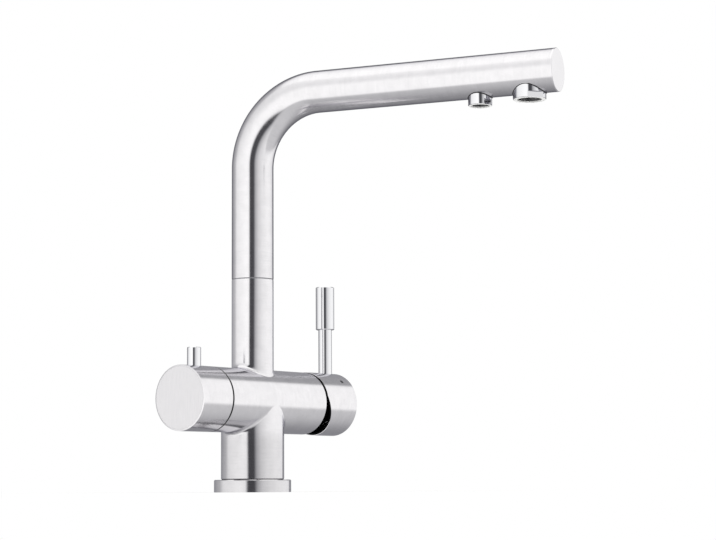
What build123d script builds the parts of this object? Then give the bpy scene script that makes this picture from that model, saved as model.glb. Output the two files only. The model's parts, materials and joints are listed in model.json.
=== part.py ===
"""A three-way kitchen tap for drinking water: mixer handle right, filter knob left, swivel spout."""
import os
from math import asin, cos, degrees, pi, radians, sin

from build123d import *

os.makedirs("parts", exist_ok=True)

# Frame: the origin is where the column's axis meets the worktop.
# +X runs along the barrel to the mixer handle, -Y points at the user and +Z is up.

# Outer sizes of the tap, in millimetres and degrees
flange_diameter = 54.6
flange_height = 8.8
flange_bevel = 0.6
column_seal_height = 0.5
barrel_diameter = 45.4
barrel_height = 64.4
barrel_left = 46.1
barrel_right = 56.6
barrel_wall = 4.2
column_step = 0.3
column_wall = 3.0
column_blend = 3.0
riser_diameter = 30.0
riser_blend = 4.0
swivel_height = 150.7
spout_height = 283.7
spout_reach = 230.5
spout_bend_radius = 52.2
spout_rest_turn = 14.0

# Clearances that every fit is made from
overrun = 2.0
fit_clearance = 0.05
running_clearance = 0.05
slide_clearance = 0.2
free_gap = 0.3
edge_break = 0.3
seam_break = 0.45
ring_round_share = 0.4
hex_key_share = 0.5

# The barrel carries the rest: the column is a hair slimmer, so that their crossing can be blended
barrel_radius = barrel_diameter / 2
riser_radius = riser_diameter / 2
column_radius = barrel_radius - column_step
column_bore_radius = column_radius - column_wall
column_foot = flange_height + column_seal_height

# Swivel joint in the riser's stub: drops run down from the tube's foot
stub_wall = 3.0
stub_sink = 1.3
slip_ring_height = 0.6
tail_gap = 0.4
tail_wall = 3.4
tail_depth = 41.0
tail_socket_height = 20.0
slide_ring_height = 4.0
slide_ring_wall = 1.15
slide_ring_margin = 2.5
o_ring_height = 2.2
o_ring_wall = 2.1
o_ring_drops = (15.0, 22.0)
lock_screw_radius = 2.0
lock_ring_gap = 2.35
screw_side = 90.0
lock_tip_radius = 1.4
lock_tip_depth = 0.75
lock_groove_depth = 1.2
spout_swing = 75.0
stub_bore_radius = riser_radius - stub_wall
stub_floor = barrel_height + barrel_radius - stub_sink
tail_radius = stub_bore_radius - tail_gap
tail_bore_radius = tail_radius - tail_wall
slide_ring_drops = (slide_ring_margin, tail_depth - slide_ring_margin - slide_ring_height)

# Hose manifold in the foot of the column, and the water ways above it
manifold_height = 31.0
port_circle_radius = 10.5
port_angle = 60.0
port_radius = 4.6
thread_depth = 8.6
stud_hole_radius = 3.4
inlet_radius = 2.6
inlet_side = 7.5
inlet_rise = 6.3
mixed_radius = 2.8
mixed_drop = 9.0
mixed_way_margin = 0.7
filter_way_radius = 2.5
filtered_radius = 1.7
seal_lip = 1.4
seal_depth = 1.2
manifold_screws_count = 3
manifold_screw_radius = 1.95
manifold_screw_reach = 8.0
manifold_screw_head_radius = 3.5
manifold_screw_head_height = 4.0
manifold_screw_sink = 0.6
manifold_screw_margin = 0.9
port_x = port_circle_radius * cos(radians(port_angle))
port_y = port_circle_radius * sin(radians(port_angle))
mixed_way_x = stub_bore_radius - mixed_radius - mixed_way_margin
manifold_screw_circle = column_bore_radius - manifold_screw_head_radius - manifold_screw_margin

# Base gasket in the flange's underside
gasket_margin = 2.1
gasket_height = 1.5
gasket_outer_radius = flange_diameter / 2 - gasket_margin
gasket_inner_radius = column_bore_radius + gasket_margin

# Spout tube, its end cap and its two outlets: drops run down from the arm's axis
tube_wall = 1.2
cap_thickness = 1.1
cap_spigot_length = 4.0
outlet_wall = 1.2
outlet_seat = 2.2
outlet_edge_break = 0.5
main_outlet_inset = 20.5
main_outlet_radius = 11.35
main_outlet_drop = 19.2
main_outlet_recess = 2.8
main_outlet_flat_depth = 1.6
main_outlet_flat_height = 4.2
main_outlet_flat_turn = 48.0
filter_outlet_spacing = 35.7
filter_outlet_radius = 8.25
filter_outlet_drop = 20.6
filter_outlet_recess = 2.4
filter_outlet_flat_depth = 0.6
filter_outlet_flat_height = 4.0
filter_outlet_flat_turn = 29.0
holes_per_ring = 6
aerator_height = 4.5
aerator_plate = 1.4
aerator_hole_radius = 0.72
aerator_hole_margin = 0.13
aerator_hole_rings = 3
strainer_height = 1.2
strainer_hole_radius = 0.9
strainer_hole_pitch = 3.1
strainer_hole_rings = 2
outlet_gasket_height = 1.4
outlet_gasket_wall = 2.2
filter_insert_height = 2.8
filter_insert_hole_radius = 0.7
filter_insert_hole_pitch = 2.3
filter_insert_hole_rings = 2
tube_bore_radius = riser_radius - tube_wall
main_outlet_reach = spout_reach - main_outlet_inset
main_outlet_bottom = spout_height - main_outlet_drop
main_outlet_top = spout_height - (riser_radius**2 - main_outlet_radius**2) ** 0.5 + outlet_seat
filter_outlet_reach = main_outlet_reach - filter_outlet_spacing
filter_outlet_bottom = spout_height - filter_outlet_drop
filter_outlet_top = spout_height - (riser_radius**2 - filter_outlet_radius**2) ** 0.5 + outlet_seat

# Filtered water's own way: a nipple, a tube inside the spout, and a barb and elbow at the outlet
water_tube_bore_radius = 3.1
water_tube_wall = 1.1
elbow_radius = 6.0
elbow_bore_radius = 2.0
barb_wall = 1.15
barb_length = 9.0
nipple_thread_radius = 3.5
nipple_thread_length = 8.0
nipple_hex = 9.0
nipple_hex_height = 4.0
nipple_gap = 0.1
nipple_wall = 1.2
nipple_length = 39.0
nipple_lap = 20.0
nipple_ring_drop = 6.0
nipple_ring_height = 1.4
nipple_ring_wall = 0.7
water_tube_radius = water_tube_bore_radius + water_tube_wall
nipple_radius = water_tube_bore_radius - nipple_gap
nipple_bore_radius = nipple_radius - nipple_wall
nipple_top = stub_floor + nipple_length
water_tube_foot = nipple_top - nipple_lap
barb_radius = water_tube_bore_radius - fit_clearance
barb_bore_radius = barb_radius - barb_wall

# Filter valve in the barrel's left end: places run left from the column's axis
filter_disc_radius = 8.0
filter_disc_height = 3.0
filter_disc_port_radius = 1.6
filter_disc_port_side = 4.2
headpart_bore_radius = 12.5
headpart_depth = 23.0
headpart_thread_length = 10.0
headpart_flange_lip = 2.5
headpart_flange_height = 1.2
headpart_hex = 24.0
headpart_hex_height = 3.8
headpart_neck_radius = 7.0
headpart_neck_length = 4.0
cage_wall = 0.8
cage_lap_share = 0.5
cage_window_width = 7.0
cage_window_length = 2.6
headpart_seal_height = 1.6
headpart_seal_wall = 2.8
spindle_radius = 3.95
spindle_foot_step = 0.4
spindle_foot_height = 1.4
spindle_square = 5.5
spindle_ring_inset = 4.0
spindle_ring_height = 1.6
spindle_ring_wall = 1.0
clip_thickness = 0.8
clip_rim = 1.55
clip_groove_depth = 0.7
headpart_floor = barrel_left - headpart_depth
headpart_thread_end = barrel_left - headpart_thread_length
headpart_flange_radius = headpart_bore_radius + headpart_flange_lip
cage_radius = filter_disc_radius + slide_clearance + cage_wall

# Filter knob on the spindle
knob_gap = 0.9
glide_ring_height = 0.6
knob_length = 29.7
knob_bevel_width = 0.9
knob_bevel_depth = 0.3
knob_face_depth = 8.4
knob_cavity_margin = 2.5
knob_cavity_spare = 1.3
knob_cap_thickness = 1.2
knob_screw_radius = 2.0
knob_screw_lap = 9.0
knob_screw_head_radius = 3.8
knob_screw_head_height = 2.6
pin_inset = 15.2
pin_radius = 4.8
pin_rise = 12.5
pin_seat_sink = 2.5
pin_thread_radius = 3.0
pin_thread_length = 9.0
pin_edge_break = 0.4
knob_start = -barrel_left - knob_gap
knob_end = knob_start - knob_length
knob_cavity_radius = headpart_flange_radius + knob_cavity_margin
knob_cap_radius = barrel_radius - knob_bevel_width - edge_break
spindle_end = knob_end + knob_face_depth
pin_x = knob_start - pin_inset
pin_top = barrel_height + barrel_radius + pin_rise

# Ring nut and cover in the barrel's right end: places run right from the column's axis
nut_height = 9.5
nut_sink = 0.3
nut_bore_gap = 0.7
nut_notch_width = 4.0
nut_notch_depth = 2.5
nut_notches = 4
cover_rise = 4.7
cover_gap = 0.5
nut_radius = barrel_radius - barrel_wall
nut_end = barrel_right - nut_sink

# Mixing cartridge under the nut
cartridge_step = 1.0
cartridge_foot_gap = 0.4
cartridge_length = 24.1
cartridge_base = 5.0
cartridge_wall = 1.5
cartridge_lid = 2.5
cartridge_seal_depth = 1.0
peg_radius = 1.9
peg_length = 2.3
peg_inset = 5.0
peg_drop = 4.5
disc_gap = 0.4
fixed_disc_height = 4.0
disc_running_gap = 0.05
moving_disc_step = 3.4
moving_disc_height = 3.5
mixing_pocket_rim = 1.4
mixing_pocket_top = 3.0
mixing_pocket_depth = 2.0
carrier_width = 16.0
carrier_length = 18.0
carrier_height = 3.4
rotor_neck_radius = 11.5
rotor_neck_rise = 4.0
rotor_foot_gap = 0.4
rotor_leg_width = 3.4
rotor_leg_length = 14.0
cartridge_top = nut_end - nut_height
cartridge_floor = cartridge_top - cartridge_length - cartridge_foot_gap
cartridge_radius = nut_radius - cartridge_step
cartridge_cavity_radius = cartridge_radius - cartridge_wall
fixed_disc_radius = cartridge_cavity_radius - disc_gap
moving_disc_radius = cartridge_cavity_radius - moving_disc_step
mixing_pocket_radius = moving_disc_radius - mixing_pocket_rim
peg_side = cartridge_radius - peg_inset
rotor_neck_end = cartridge_top + rotor_neck_rise
nut_bore_radius = rotor_neck_radius + nut_bore_gap

# Lever stem: tilts on its pin in the rotor, and its ball slides the moving disc
lever_tilt = 20.0
tilt_pivot_sink = 1.0
stem_width = 8.0
stem_corner = 2.0
stem_slot_clearance = 0.1
stem_slot_up = 5.6
stem_slot_down = 6.6
stem_foot_reach = 4.0
stem_waist_radius = 2.0
stem_ball_radius = 2.5
stem_ball_height = 3.05
stem_pin_radius = 1.5
stem_pin_margin = 1.5
tilt_pivot = cartridge_top - tilt_pivot_sink
stem_foot = tilt_pivot - stem_foot_reach
stem_pin_length = 2 * (rotor_neck_radius - stem_pin_margin)

# Mixer handle on the stem
handle_step = 0.45
handle_gap = 1.6
handle_length = 34.7
handle_wall = 1.6
handle_end_wall = 3.0
handle_cut_rise = 4.9
handle_cut_spare = 0.2
handle_bevel = 0.7
hub_radius = 12.0
hub_inset = 10.8
stem_end_gap = 4.3
lever_inset = 25.45
rod_radius = 5.0
rod_seat_sink = 1.0
rod_thread_radius = 2.5
rod_thread_length = 4.5
grip_rise = 55.7
grip_length = 32.0
grip_radius = 6.87
grip_edge_break = 0.5
grip_spigot_radius = 3.5
grip_spigot_length = 12.0
grub_inset = 24.4
grub_angle = 45.0
grub_radius = 1.5
grub_length = 6.0
plug_sink = 0.4
plug_foot = 0.1
handle_radius = barrel_radius + handle_step
handle_bore_radius = handle_radius - handle_wall
handle_start = barrel_right + handle_gap
cover_dome_radius = ((handle_start - tilt_pivot)**2 + handle_bore_radius**2) ** 0.5 - cover_gap
handle_end = handle_start + handle_length
hub_start = handle_start + hub_inset
hub_end = handle_end - handle_end_wall
stem_end = hub_end - stem_end_gap
lever_x = handle_start + lever_inset
rod_seat = barrel_height + hub_radius - rod_seat_sink
grip_bottom = barrel_height + grip_rise
grub_x = handle_start + grub_inset
plug_length = handle_wall - plug_sink - plug_foot

spout_way = Vector(sin(radians(spout_rest_turn)), -cos(radians(spout_rest_turn)), 0)
spout_side = Vector(spout_way.Y, -spout_way.X, 0)


def across(x, y=0, z=0):
    """Plane square to the barrel at x, centred y and z away from the barrel's axis."""
    return Plane(origin=(x, y, barrel_height + z), x_dir=(0, 1, 0), z_dir=(1, 0, 0))


def level(height, x=0, y=0):
    """Level plane at a height, centred at x and y."""
    return Plane(origin=(x, y, height))


def under_arm(reach, height):
    """Level plane at a height under the spout's arm, turned with the arm."""
    return Plane(origin=(reach * spout_way.X, reach * spout_way.Y, height), x_dir=spout_way,
                 z_dir=(0, 0, 1))


def along_arm(reach):
    """Plane square to the spout's arm, at a reach from the column's axis."""
    origin = (reach * spout_way.X, reach * spout_way.Y, spout_height)
    return Plane(origin=origin, x_dir=spout_side, z_dir=spout_way)


def bar(plane, radius, length, mode=Mode.ADD):
    """Adds or cuts a round bar that starts on a plane and runs along its normal."""
    with BuildSketch(plane) as section:
        Circle(radius)
    extrude(section.sketch, amount=length, mode=mode)


def ring(plane, outer, inner, length, mode=Mode.ADD):
    """Adds or cuts a plain ring that starts on a plane."""
    with BuildSketch(plane) as section:
        Circle(outer)
        Circle(inner, mode=Mode.SUBTRACT)
    extrude(section.sketch, amount=length, mode=mode)


def block(plane, width, depth, length, mode=Mode.ADD):
    """Adds or cuts a rectangular bar that starts on a plane."""
    with BuildSketch(plane) as section:
        Rectangle(width, depth)
    extrude(section.sketch, amount=length, mode=mode)


def hexagon(plane, across_flats, length, mode=Mode.ADD):
    """Adds or cuts a hexagonal bar that starts on a plane."""
    with BuildSketch(plane) as section:
        RegularPolygon(across_flats / 2, 6, major_radius=False)
    extrude(section.sketch, amount=length, mode=mode)


def squeezed_ring(plane, outer, wall, height):
    """Adds an O-ring, squeezed to a rounded section between its groove and its bore."""
    with BuildSketch(plane) as section:
        Circle(outer)
        Circle(outer - wall, mode=Mode.SUBTRACT)
    extrude(section.sketch, amount=height)


def rounded(edges, wall, height):
    """Rounds an O-ring's edges by two fifths of its thinner side."""
    fillet(edges, radius=min(wall, height) * ring_round_share)


# Base flange: the turned ring between worktop and column
with BuildPart() as base_flange:
    bar(Plane.XY, flange_diameter / 2, flange_height)
    chamfer(base_flange.edges().group_by(Axis.Z)[-1], length=flange_bevel)
    bar(level(-overrun), column_bore_radius, flange_height + 2 * overrun, Mode.SUBTRACT)
    ring(Plane.XY, gasket_outer_radius, gasket_inner_radius, gasket_height, Mode.SUBTRACT)
base_flange.part.label = "base_flange"
export_step(base_flange.part, "parts/base_flange.step")

# Base gasket: the rubber ring in the flange's underside, flush with the worktop
with BuildPart() as base_gasket:
    ring(Plane.XY, gasket_outer_radius - fit_clearance, gasket_inner_radius + fit_clearance, gasket_height)
base_gasket.part.label = "base_gasket"
export_step(base_gasket.part, "parts/base_gasket.step")

# Column seal: the thin rubber ring that shows as the dark line at the column's foot
with BuildPart() as column_seal:
    ring(level(flange_height), column_radius - seam_break, column_bore_radius + slide_clearance,
         column_seal_height)
column_seal.part.label = "column_seal"
export_step(column_seal.part, "parts/column_seal.step")

# Valve body: column, barrel and riser stub in one brushed steel casting
mixer_inlets = [(port_x, -inlet_side), (port_x, inlet_side)]
manifold_screw_angle = 360 / manifold_screws_count
manifold_screw_places = [
    (manifold_screw_circle * cos(radians(n * manifold_screw_angle)),
     manifold_screw_circle * sin(radians(n * manifold_screw_angle)))
    for n in range(manifold_screws_count)
]
thread_relief_radius = nut_radius + fit_clearance
tube_start = swivel_height + slip_ring_height + running_clearance
tail_bottom = tube_start - tail_depth
lock_height = tail_bottom + slide_ring_margin + slide_ring_height + lock_ring_gap
filtered_rise = headpart_bore_radius - filtered_radius - fit_clearance
inlet_height = barrel_height + inlet_rise
mixed_height = barrel_height - mixed_drop
with BuildPart() as valve_body:
    bar(level(column_foot), column_radius, barrel_height - column_foot)
    bar(across(-barrel_left), barrel_radius, barrel_left + barrel_right)
    bar(level(barrel_height), riser_radius, swivel_height - barrel_height)
    fillet(valve_body.edges().filter_by(GeomType.BSPLINE).sort_by(Axis.Z)[-1], radius=riser_blend)
    fillet(valve_body.edges().filter_by(GeomType.BSPLINE).sort_by(Axis.Z)[0], radius=column_blend)
    chamfer(valve_body.edges().group_by(Axis.Z)[0], length=edge_break)
    chamfer(valve_body.edges().group_by(Axis.X)[-1], length=edge_break)
    chamfer(valve_body.edges().group_by(Axis.X)[0], length=edge_break)
    # Bores for the manifold, the spout's tail, the mixer cartridge and the filter valve
    bar(level(column_foot - overrun), column_bore_radius, manifold_height - column_foot + overrun,
        Mode.SUBTRACT)
    bar(level(stub_floor), stub_bore_radius, swivel_height - stub_floor + overrun, Mode.SUBTRACT)
    bar(across(cartridge_floor), cartridge_radius + fit_clearance, barrel_right - cartridge_floor + overrun,
        Mode.SUBTRACT)
    bar(across(cartridge_top), thread_relief_radius, barrel_right - cartridge_top + overrun, Mode.SUBTRACT)
    bar(across(-barrel_left - overrun), headpart_bore_radius, barrel_left - headpart_floor + overrun,
        Mode.SUBTRACT)
    # Hot and cold ways: up from the manifold, then across to the cartridge
    for x, y in mixer_inlets:
        bar(level(manifold_height - overrun, x, y), inlet_radius, inlet_height - manifold_height + overrun,
            Mode.SUBTRACT)
        bar(across(x - inlet_radius, y, inlet_rise), inlet_radius, cartridge_floor - x + inlet_radius,
            Mode.SUBTRACT)
    # Mixed water: from the cartridge back and up into the riser
    bar(across(mixed_way_x, 0, -mixed_drop), mixed_radius, cartridge_floor - mixed_way_x, Mode.SUBTRACT)
    bar(level(mixed_height, mixed_way_x), mixed_radius, stub_floor - mixed_height + overrun, Mode.SUBTRACT)
    # Filter water in: up from the manifold, then left to the filter valve
    bar(level(manifold_height - overrun, -port_circle_radius), filter_way_radius,
        barrel_height - manifold_height + overrun, Mode.SUBTRACT)
    bar(across(-headpart_floor), filter_way_radius, headpart_floor - port_circle_radius, Mode.SUBTRACT)
    # Filtered water out: right to the column's axis, then up into the nipple
    bar(across(-headpart_floor, 0, filtered_rise), filtered_radius, headpart_floor, Mode.SUBTRACT)
    bar(level(barrel_height + filtered_rise), filtered_radius, stub_floor - barrel_height - filtered_rise,
        Mode.SUBTRACT)
    bar(level(stub_floor - nipple_thread_length), nipple_thread_radius + fit_clearance,
        nipple_thread_length + overrun, Mode.SUBTRACT)
    # Holes for the cartridge's pegs, the manifold's screws and the spout's lock screw
    for side in (-peg_side, peg_side):
        bar(across(cartridge_floor - peg_length, side, -peg_drop), peg_radius + fit_clearance,
            peg_length + overrun, Mode.SUBTRACT)
    for x, y in manifold_screw_places:
        bar(level(manifold_height, x, y), manifold_screw_radius + fit_clearance,
            manifold_screw_reach + free_gap, Mode.SUBTRACT)
    bar(Plane(origin=(0, 0, lock_height), x_dir=(1, 0, 0), z_dir=(0, 1, 0)),
        lock_screw_radius + fit_clearance, riser_radius + overrun, Mode.SUBTRACT)
valve_body.part.label = "valve_body"
export_step(valve_body.part, "parts/valve_body.step")

# Hose manifold: the brass block with three hose threads and the fixing stud's hole
port_places = [(port_x, -port_y), (port_x, port_y), (-port_circle_radius, 0)]
channel_places = mixer_inlets + [(-port_circle_radius, 0)]
manifold_head_top = manifold_screw_sink + manifold_screw_head_height
seal_inner_radius = inlet_radius + free_gap
seal_outer_radius = seal_inner_radius + seal_lip
with BuildPart() as hose_manifold:
    bar(Plane.XY, column_bore_radius - fit_clearance, manifold_height)
    chamfer(hose_manifold.edges().group_by(Axis.Z)[-1], length=edge_break)
    bar(level(-overrun), stud_hole_radius, thread_depth + overrun, Mode.SUBTRACT)
    for x, y in port_places:
        bar(level(-overrun, x, y), port_radius, thread_depth + overrun, Mode.SUBTRACT)
    for x, y in channel_places:
        bar(level(thread_depth - overrun, x, y), inlet_radius, manifold_height - thread_depth + 2 * overrun,
            Mode.SUBTRACT)
        bar(level(manifold_height - seal_depth, x, y), seal_outer_radius + fit_clearance,
            seal_depth + overrun, Mode.SUBTRACT)
    for x, y in manifold_screw_places:
        bar(level(-overrun, x, y), manifold_screw_radius + slide_clearance, manifold_height + 2 * overrun,
            Mode.SUBTRACT)
        bar(level(-overrun, x, y), manifold_screw_head_radius + slide_clearance,
            manifold_head_top + overrun, Mode.SUBTRACT)
hose_manifold.part.label = "hose_manifold"
export_step(hose_manifold.part, "parts/hose_manifold.step")

# Manifold seals: one rubber ring round each water way
with BuildPart() as manifold_seals:
    for x, y in channel_places:
        ring(level(manifold_height - seal_depth, x, y), seal_outer_radius, seal_inner_radius, seal_depth)
manifold_seals.part.label = "manifold_seals"
export_step(manifold_seals.part, "parts/manifold_seals.step")

# Manifold screws: three cap screws that pull the manifold up into the column
with BuildPart() as manifold_screws:
    for x, y in manifold_screw_places:
        bar(level(manifold_screw_sink, x, y), manifold_screw_head_radius, manifold_screw_head_height)
        bar(level(manifold_head_top, x, y), manifold_screw_radius,
            manifold_height + manifold_screw_reach - manifold_head_top)
        hexagon(level(manifold_screw_sink, x, y), manifold_screw_head_radius,
                manifold_screw_head_height * hex_key_share, Mode.SUBTRACT)
manifold_screws.part.label = "manifold_screws"
export_step(manifold_screws.part, "parts/manifold_screws.step")

# Cartridge case: the plastic housing of the mixing cartridge
case_start = cartridge_floor + cartridge_foot_gap
case_inside = case_start + cartridge_base
case_lid = cartridge_top - cartridge_lid
water_ports = [(-inlet_side, inlet_rise, inlet_radius), (inlet_side, inlet_rise, inlet_radius),
               (0, -mixed_drop, mixed_radius)]
cartridge_seal_inner_radius = mixed_radius + free_gap
cartridge_seal_outer_radius = cartridge_seal_inner_radius + seal_lip
with BuildPart() as cartridge_case:
    bar(across(case_start), cartridge_radius, cartridge_length)
    bar(across(case_inside), cartridge_cavity_radius, case_lid - case_inside, Mode.SUBTRACT)
    bar(across(case_lid - overrun), rotor_neck_radius + running_clearance, cartridge_lid + 2 * overrun,
        Mode.SUBTRACT)
    for y, z, radius in water_ports:
        bar(across(case_start - overrun, y, z), radius, cartridge_base + 2 * overrun, Mode.SUBTRACT)
        bar(across(case_start - overrun, y, z), cartridge_seal_outer_radius + fit_clearance,
            cartridge_seal_depth + overrun, Mode.SUBTRACT)
    for side in (-peg_side, peg_side):
        bar(across(case_start, side, -peg_drop), peg_radius, fit_clearance - peg_length)
cartridge_case.part.label = "cartridge_case"
export_step(cartridge_case.part, "parts/cartridge_case.step")

# Cartridge seals: three rubber rings between the case and the floor of its bore
with BuildPart() as cartridge_seals:
    for y, z, radius in water_ports:
        ring(across(cartridge_floor, y, z), cartridge_seal_outer_radius, cartridge_seal_inner_radius,
             cartridge_foot_gap + cartridge_seal_depth)
cartridge_seals.part.label = "cartridge_seals"
export_step(cartridge_seals.part, "parts/cartridge_seals.step")

# Fixed ceramic disc: lies on the case's floor with the three water ports
with BuildPart() as fixed_ceramic_disc:
    bar(across(case_inside), fixed_disc_radius, fixed_disc_height)
    for y, z, radius in water_ports:
        bar(across(case_inside - overrun, y, z), radius, fixed_disc_height + 2 * overrun, Mode.SUBTRACT)
fixed_ceramic_disc.part.label = "fixed_ceramic_disc"
export_step(fixed_ceramic_disc.part, "parts/fixed_ceramic_disc.step")

# Moving ceramic disc: slides and turns on the fixed one, with the mixing pocket in its face
moving_disc_start = case_inside + fixed_disc_height + disc_running_gap
carrier_start = moving_disc_start + moving_disc_height
with BuildPart() as moving_ceramic_disc:
    bar(across(moving_disc_start), moving_disc_radius, moving_disc_height)
    with BuildSketch(across(moving_disc_start)):
        Circle(mixing_pocket_radius)
        with Locations((0, mixing_pocket_top + mixing_pocket_radius)):
            Rectangle(2 * mixing_pocket_radius, 2 * mixing_pocket_radius, mode=Mode.SUBTRACT)
    extrude(amount=mixing_pocket_depth, mode=Mode.SUBTRACT)
moving_ceramic_disc.part.label = "moving_ceramic_disc"
export_step(moving_ceramic_disc.part, "parts/moving_ceramic_disc.step")

# Disc carrier: the plastic block on the moving disc that the stem's ball pushes
carrier_pocket = 2 * (stem_ball_radius + free_gap)
with BuildPart() as disc_carrier:
    block(across(carrier_start), carrier_width, carrier_length, carrier_height)
    chamfer(disc_carrier.edges().filter_by(Axis.X), length=carrier_height)
    block(across(carrier_start - overrun), carrier_pocket, carrier_pocket, carrier_height + 2 * overrun,
        Mode.SUBTRACT)
disc_carrier.part.label = "disc_carrier"
export_step(disc_carrier.part, "parts/disc_carrier.step")

# Cartridge rotor: turns in the case for the temperature and carries the stem's pin
rotor_start = carrier_start + carrier_height + rotor_foot_gap
rotor_leg_start = carrier_start + rotor_foot_gap
rotor_shoulder = case_lid - free_gap
rotor_leg_side = carrier_width / 2 + slide_clearance + rotor_leg_width / 2
with BuildPart() as cartridge_rotor:
    bar(across(rotor_start), cartridge_cavity_radius - free_gap, rotor_shoulder - rotor_start)
    bar(across(rotor_start), rotor_neck_radius, rotor_neck_end - rotor_start)
    for side in (-rotor_leg_side, rotor_leg_side):
        block(across(rotor_leg_start, side), rotor_leg_width, rotor_leg_length,
              rotor_start - rotor_leg_start)
    block(across(rotor_start - overrun, 0, (stem_slot_up - stem_slot_down) / 2),
          stem_width + 2 * stem_slot_clearance, stem_slot_up + stem_slot_down,
          rotor_neck_end - rotor_start + 2 * overrun, Mode.SUBTRACT)
    bar(Plane(origin=(tilt_pivot, -cartridge_radius, barrel_height), x_dir=(1, 0, 0), z_dir=(0, 1, 0)),
        stem_pin_radius + running_clearance, 2 * cartridge_radius, Mode.SUBTRACT)
cartridge_rotor.part.label = "cartridge_rotor"
export_step(cartridge_rotor.part, "parts/cartridge_rotor.step")

# Cartridge nut: the brass ring nut that clamps the cartridge in the barrel
nut_notch_angle = 360 / nut_notches
with BuildPart() as cartridge_nut:
    ring(across(cartridge_top), nut_radius, nut_bore_radius, nut_end - cartridge_top)
    for n in range(nut_notches):
        turn = radians(n * nut_notch_angle)
        notch = Plane(origin=(nut_end, 0, barrel_height), x_dir=(0, cos(turn), sin(turn)), z_dir=(-1, 0, 0))
        with BuildSketch(notch):
            with Locations((nut_radius, 0)):
                Rectangle(nut_radius, nut_notch_width)
        extrude(amount=nut_notch_depth, mode=Mode.SUBTRACT)
cartridge_nut.part.label = "cartridge_nut"
export_step(cartridge_nut.part, "parts/cartridge_nut.step")

# Cartridge cover: the black dome in the gap under the mixer handle, round the point that the handle tilts on
with BuildPart() as cartridge_cover:
    bar(across(nut_end), nut_radius - fit_clearance, barrel_right - nut_end)
    with BuildSketch(Plane(origin=(tilt_pivot, 0, barrel_height), x_dir=(1, 0, 0), z_dir=(0, -1, 0))) as dome:
        Circle(cover_dome_radius)
        with Locations((barrel_right - tilt_pivot, nut_bore_radius)):
            Rectangle(cover_rise, cover_dome_radius, align=(Align.MIN, Align.MIN), mode=Mode.INTERSECT)
    revolve(dome.sketch, axis=Axis((0, 0, barrel_height), (1, 0, 0)))
    bar(across(nut_end - overrun), nut_bore_radius, barrel_right - nut_end + overrun, Mode.SUBTRACT)
cartridge_cover.part.label = "cartridge_cover"
export_step(cartridge_cover.part, "parts/cartridge_cover.step")

# Lever stem: the square brass stem that tilts in the rotor and carries the handle
stem_ball = carrier_start + stem_ball_height
with BuildPart() as lever_stem:
    block(across(stem_foot), stem_width, stem_width, stem_end - stem_foot)
    chamfer(lever_stem.edges().filter_by(Axis.X), length=stem_corner)
    bar(across(stem_ball), stem_waist_radius, stem_foot - stem_ball)
    with Locations((stem_ball, 0, barrel_height)):
        Sphere(stem_ball_radius)
    bar(Plane(origin=(tilt_pivot, -stem_width, barrel_height), x_dir=(1, 0, 0), z_dir=(0, 1, 0)),
        stem_pin_radius, 2 * stem_width, Mode.SUBTRACT)
lever_stem.part.label = "lever_stem"
export_step(lever_stem.part, "parts/lever_stem.step")

# Stem pin: the steel pin that the stem tilts on
with BuildPart() as stem_pin:
    bar(Plane(origin=(tilt_pivot, -stem_pin_length / 2, barrel_height), x_dir=(1, 0, 0), z_dir=(0, 1, 0)),
        stem_pin_radius, stem_pin_length)
stem_pin.part.label = "stem_pin"
export_step(stem_pin.part, "parts/stem_pin.step")

# Handle shell: the cup with the slanted inner edge, its hub and its holes
stem_corner_flat = (stem_width - stem_corner) / 2**0.5
grub_way = Vector(0, -sin(radians(grub_angle)), cos(radians(grub_angle)))
handle_cut_angle = lever_tilt + handle_cut_spare
cut_way = Vector(cos(radians(handle_cut_angle)), 0, sin(radians(handle_cut_angle)))


def grub_plane(distance):
    """Plane square to the grub screw's hole, at a distance from the handle's axis."""
    origin = (grub_x, distance * grub_way.Y, barrel_height + distance * grub_way.Z)
    return Plane(origin=origin, x_dir=(1, 0, 0), z_dir=grub_way)


with BuildPart() as handle_shell:
    bar(across(handle_start), handle_radius, handle_end - handle_start)
    chamfer(handle_shell.edges().group_by(Axis.X)[-1], length=handle_bevel)
    bar(across(handle_start - overrun), handle_bore_radius, hub_end - handle_start + overrun, Mode.SUBTRACT)
    split(bisect_by=Plane(origin=(handle_start, 0, barrel_height + handle_cut_rise), z_dir=cut_way),
          keep=Keep.TOP)
    bar(across(hub_start), hub_radius, hub_end - hub_start + fit_clearance)
    block(across(hub_start - overrun), stem_width + 2 * fit_clearance, stem_width + 2 * fit_clearance,
          stem_end - hub_start + overrun + free_gap, Mode.SUBTRACT)
    bar(level(rod_seat, lever_x), rod_radius + fit_clearance, handle_radius, Mode.SUBTRACT)
    bar(level(rod_seat - rod_thread_length - free_gap, lever_x), rod_thread_radius + fit_clearance,
        rod_thread_length + overrun, Mode.SUBTRACT)
    bar(grub_plane(0), grub_radius + fit_clearance, handle_radius + overrun, Mode.SUBTRACT)
handle_shell.part.label = "handle_shell"
export_step(handle_shell.part, "parts/handle_shell.step")

# Handle grub screw: clamps the hub on the corner flat of the stem
with BuildPart() as handle_grub_screw:
    bar(grub_plane(stem_corner_flat), grub_radius, grub_length)
    hexagon(grub_plane(stem_corner_flat + grub_length * (1 - hex_key_share)), grub_radius,
            grub_length * hex_key_share, Mode.SUBTRACT)
handle_grub_screw.part.label = "handle_grub_screw"
export_step(handle_grub_screw.part, "parts/handle_grub_screw.step")

# Index plug: the dark dot that closes the grub screw's hole
with BuildPart() as index_plug:
    bar(grub_plane(handle_radius - plug_sink - plug_length), grub_radius, plug_length)
index_plug.part.label = "index_plug"
export_step(index_plug.part, "parts/index_plug.step")

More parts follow.
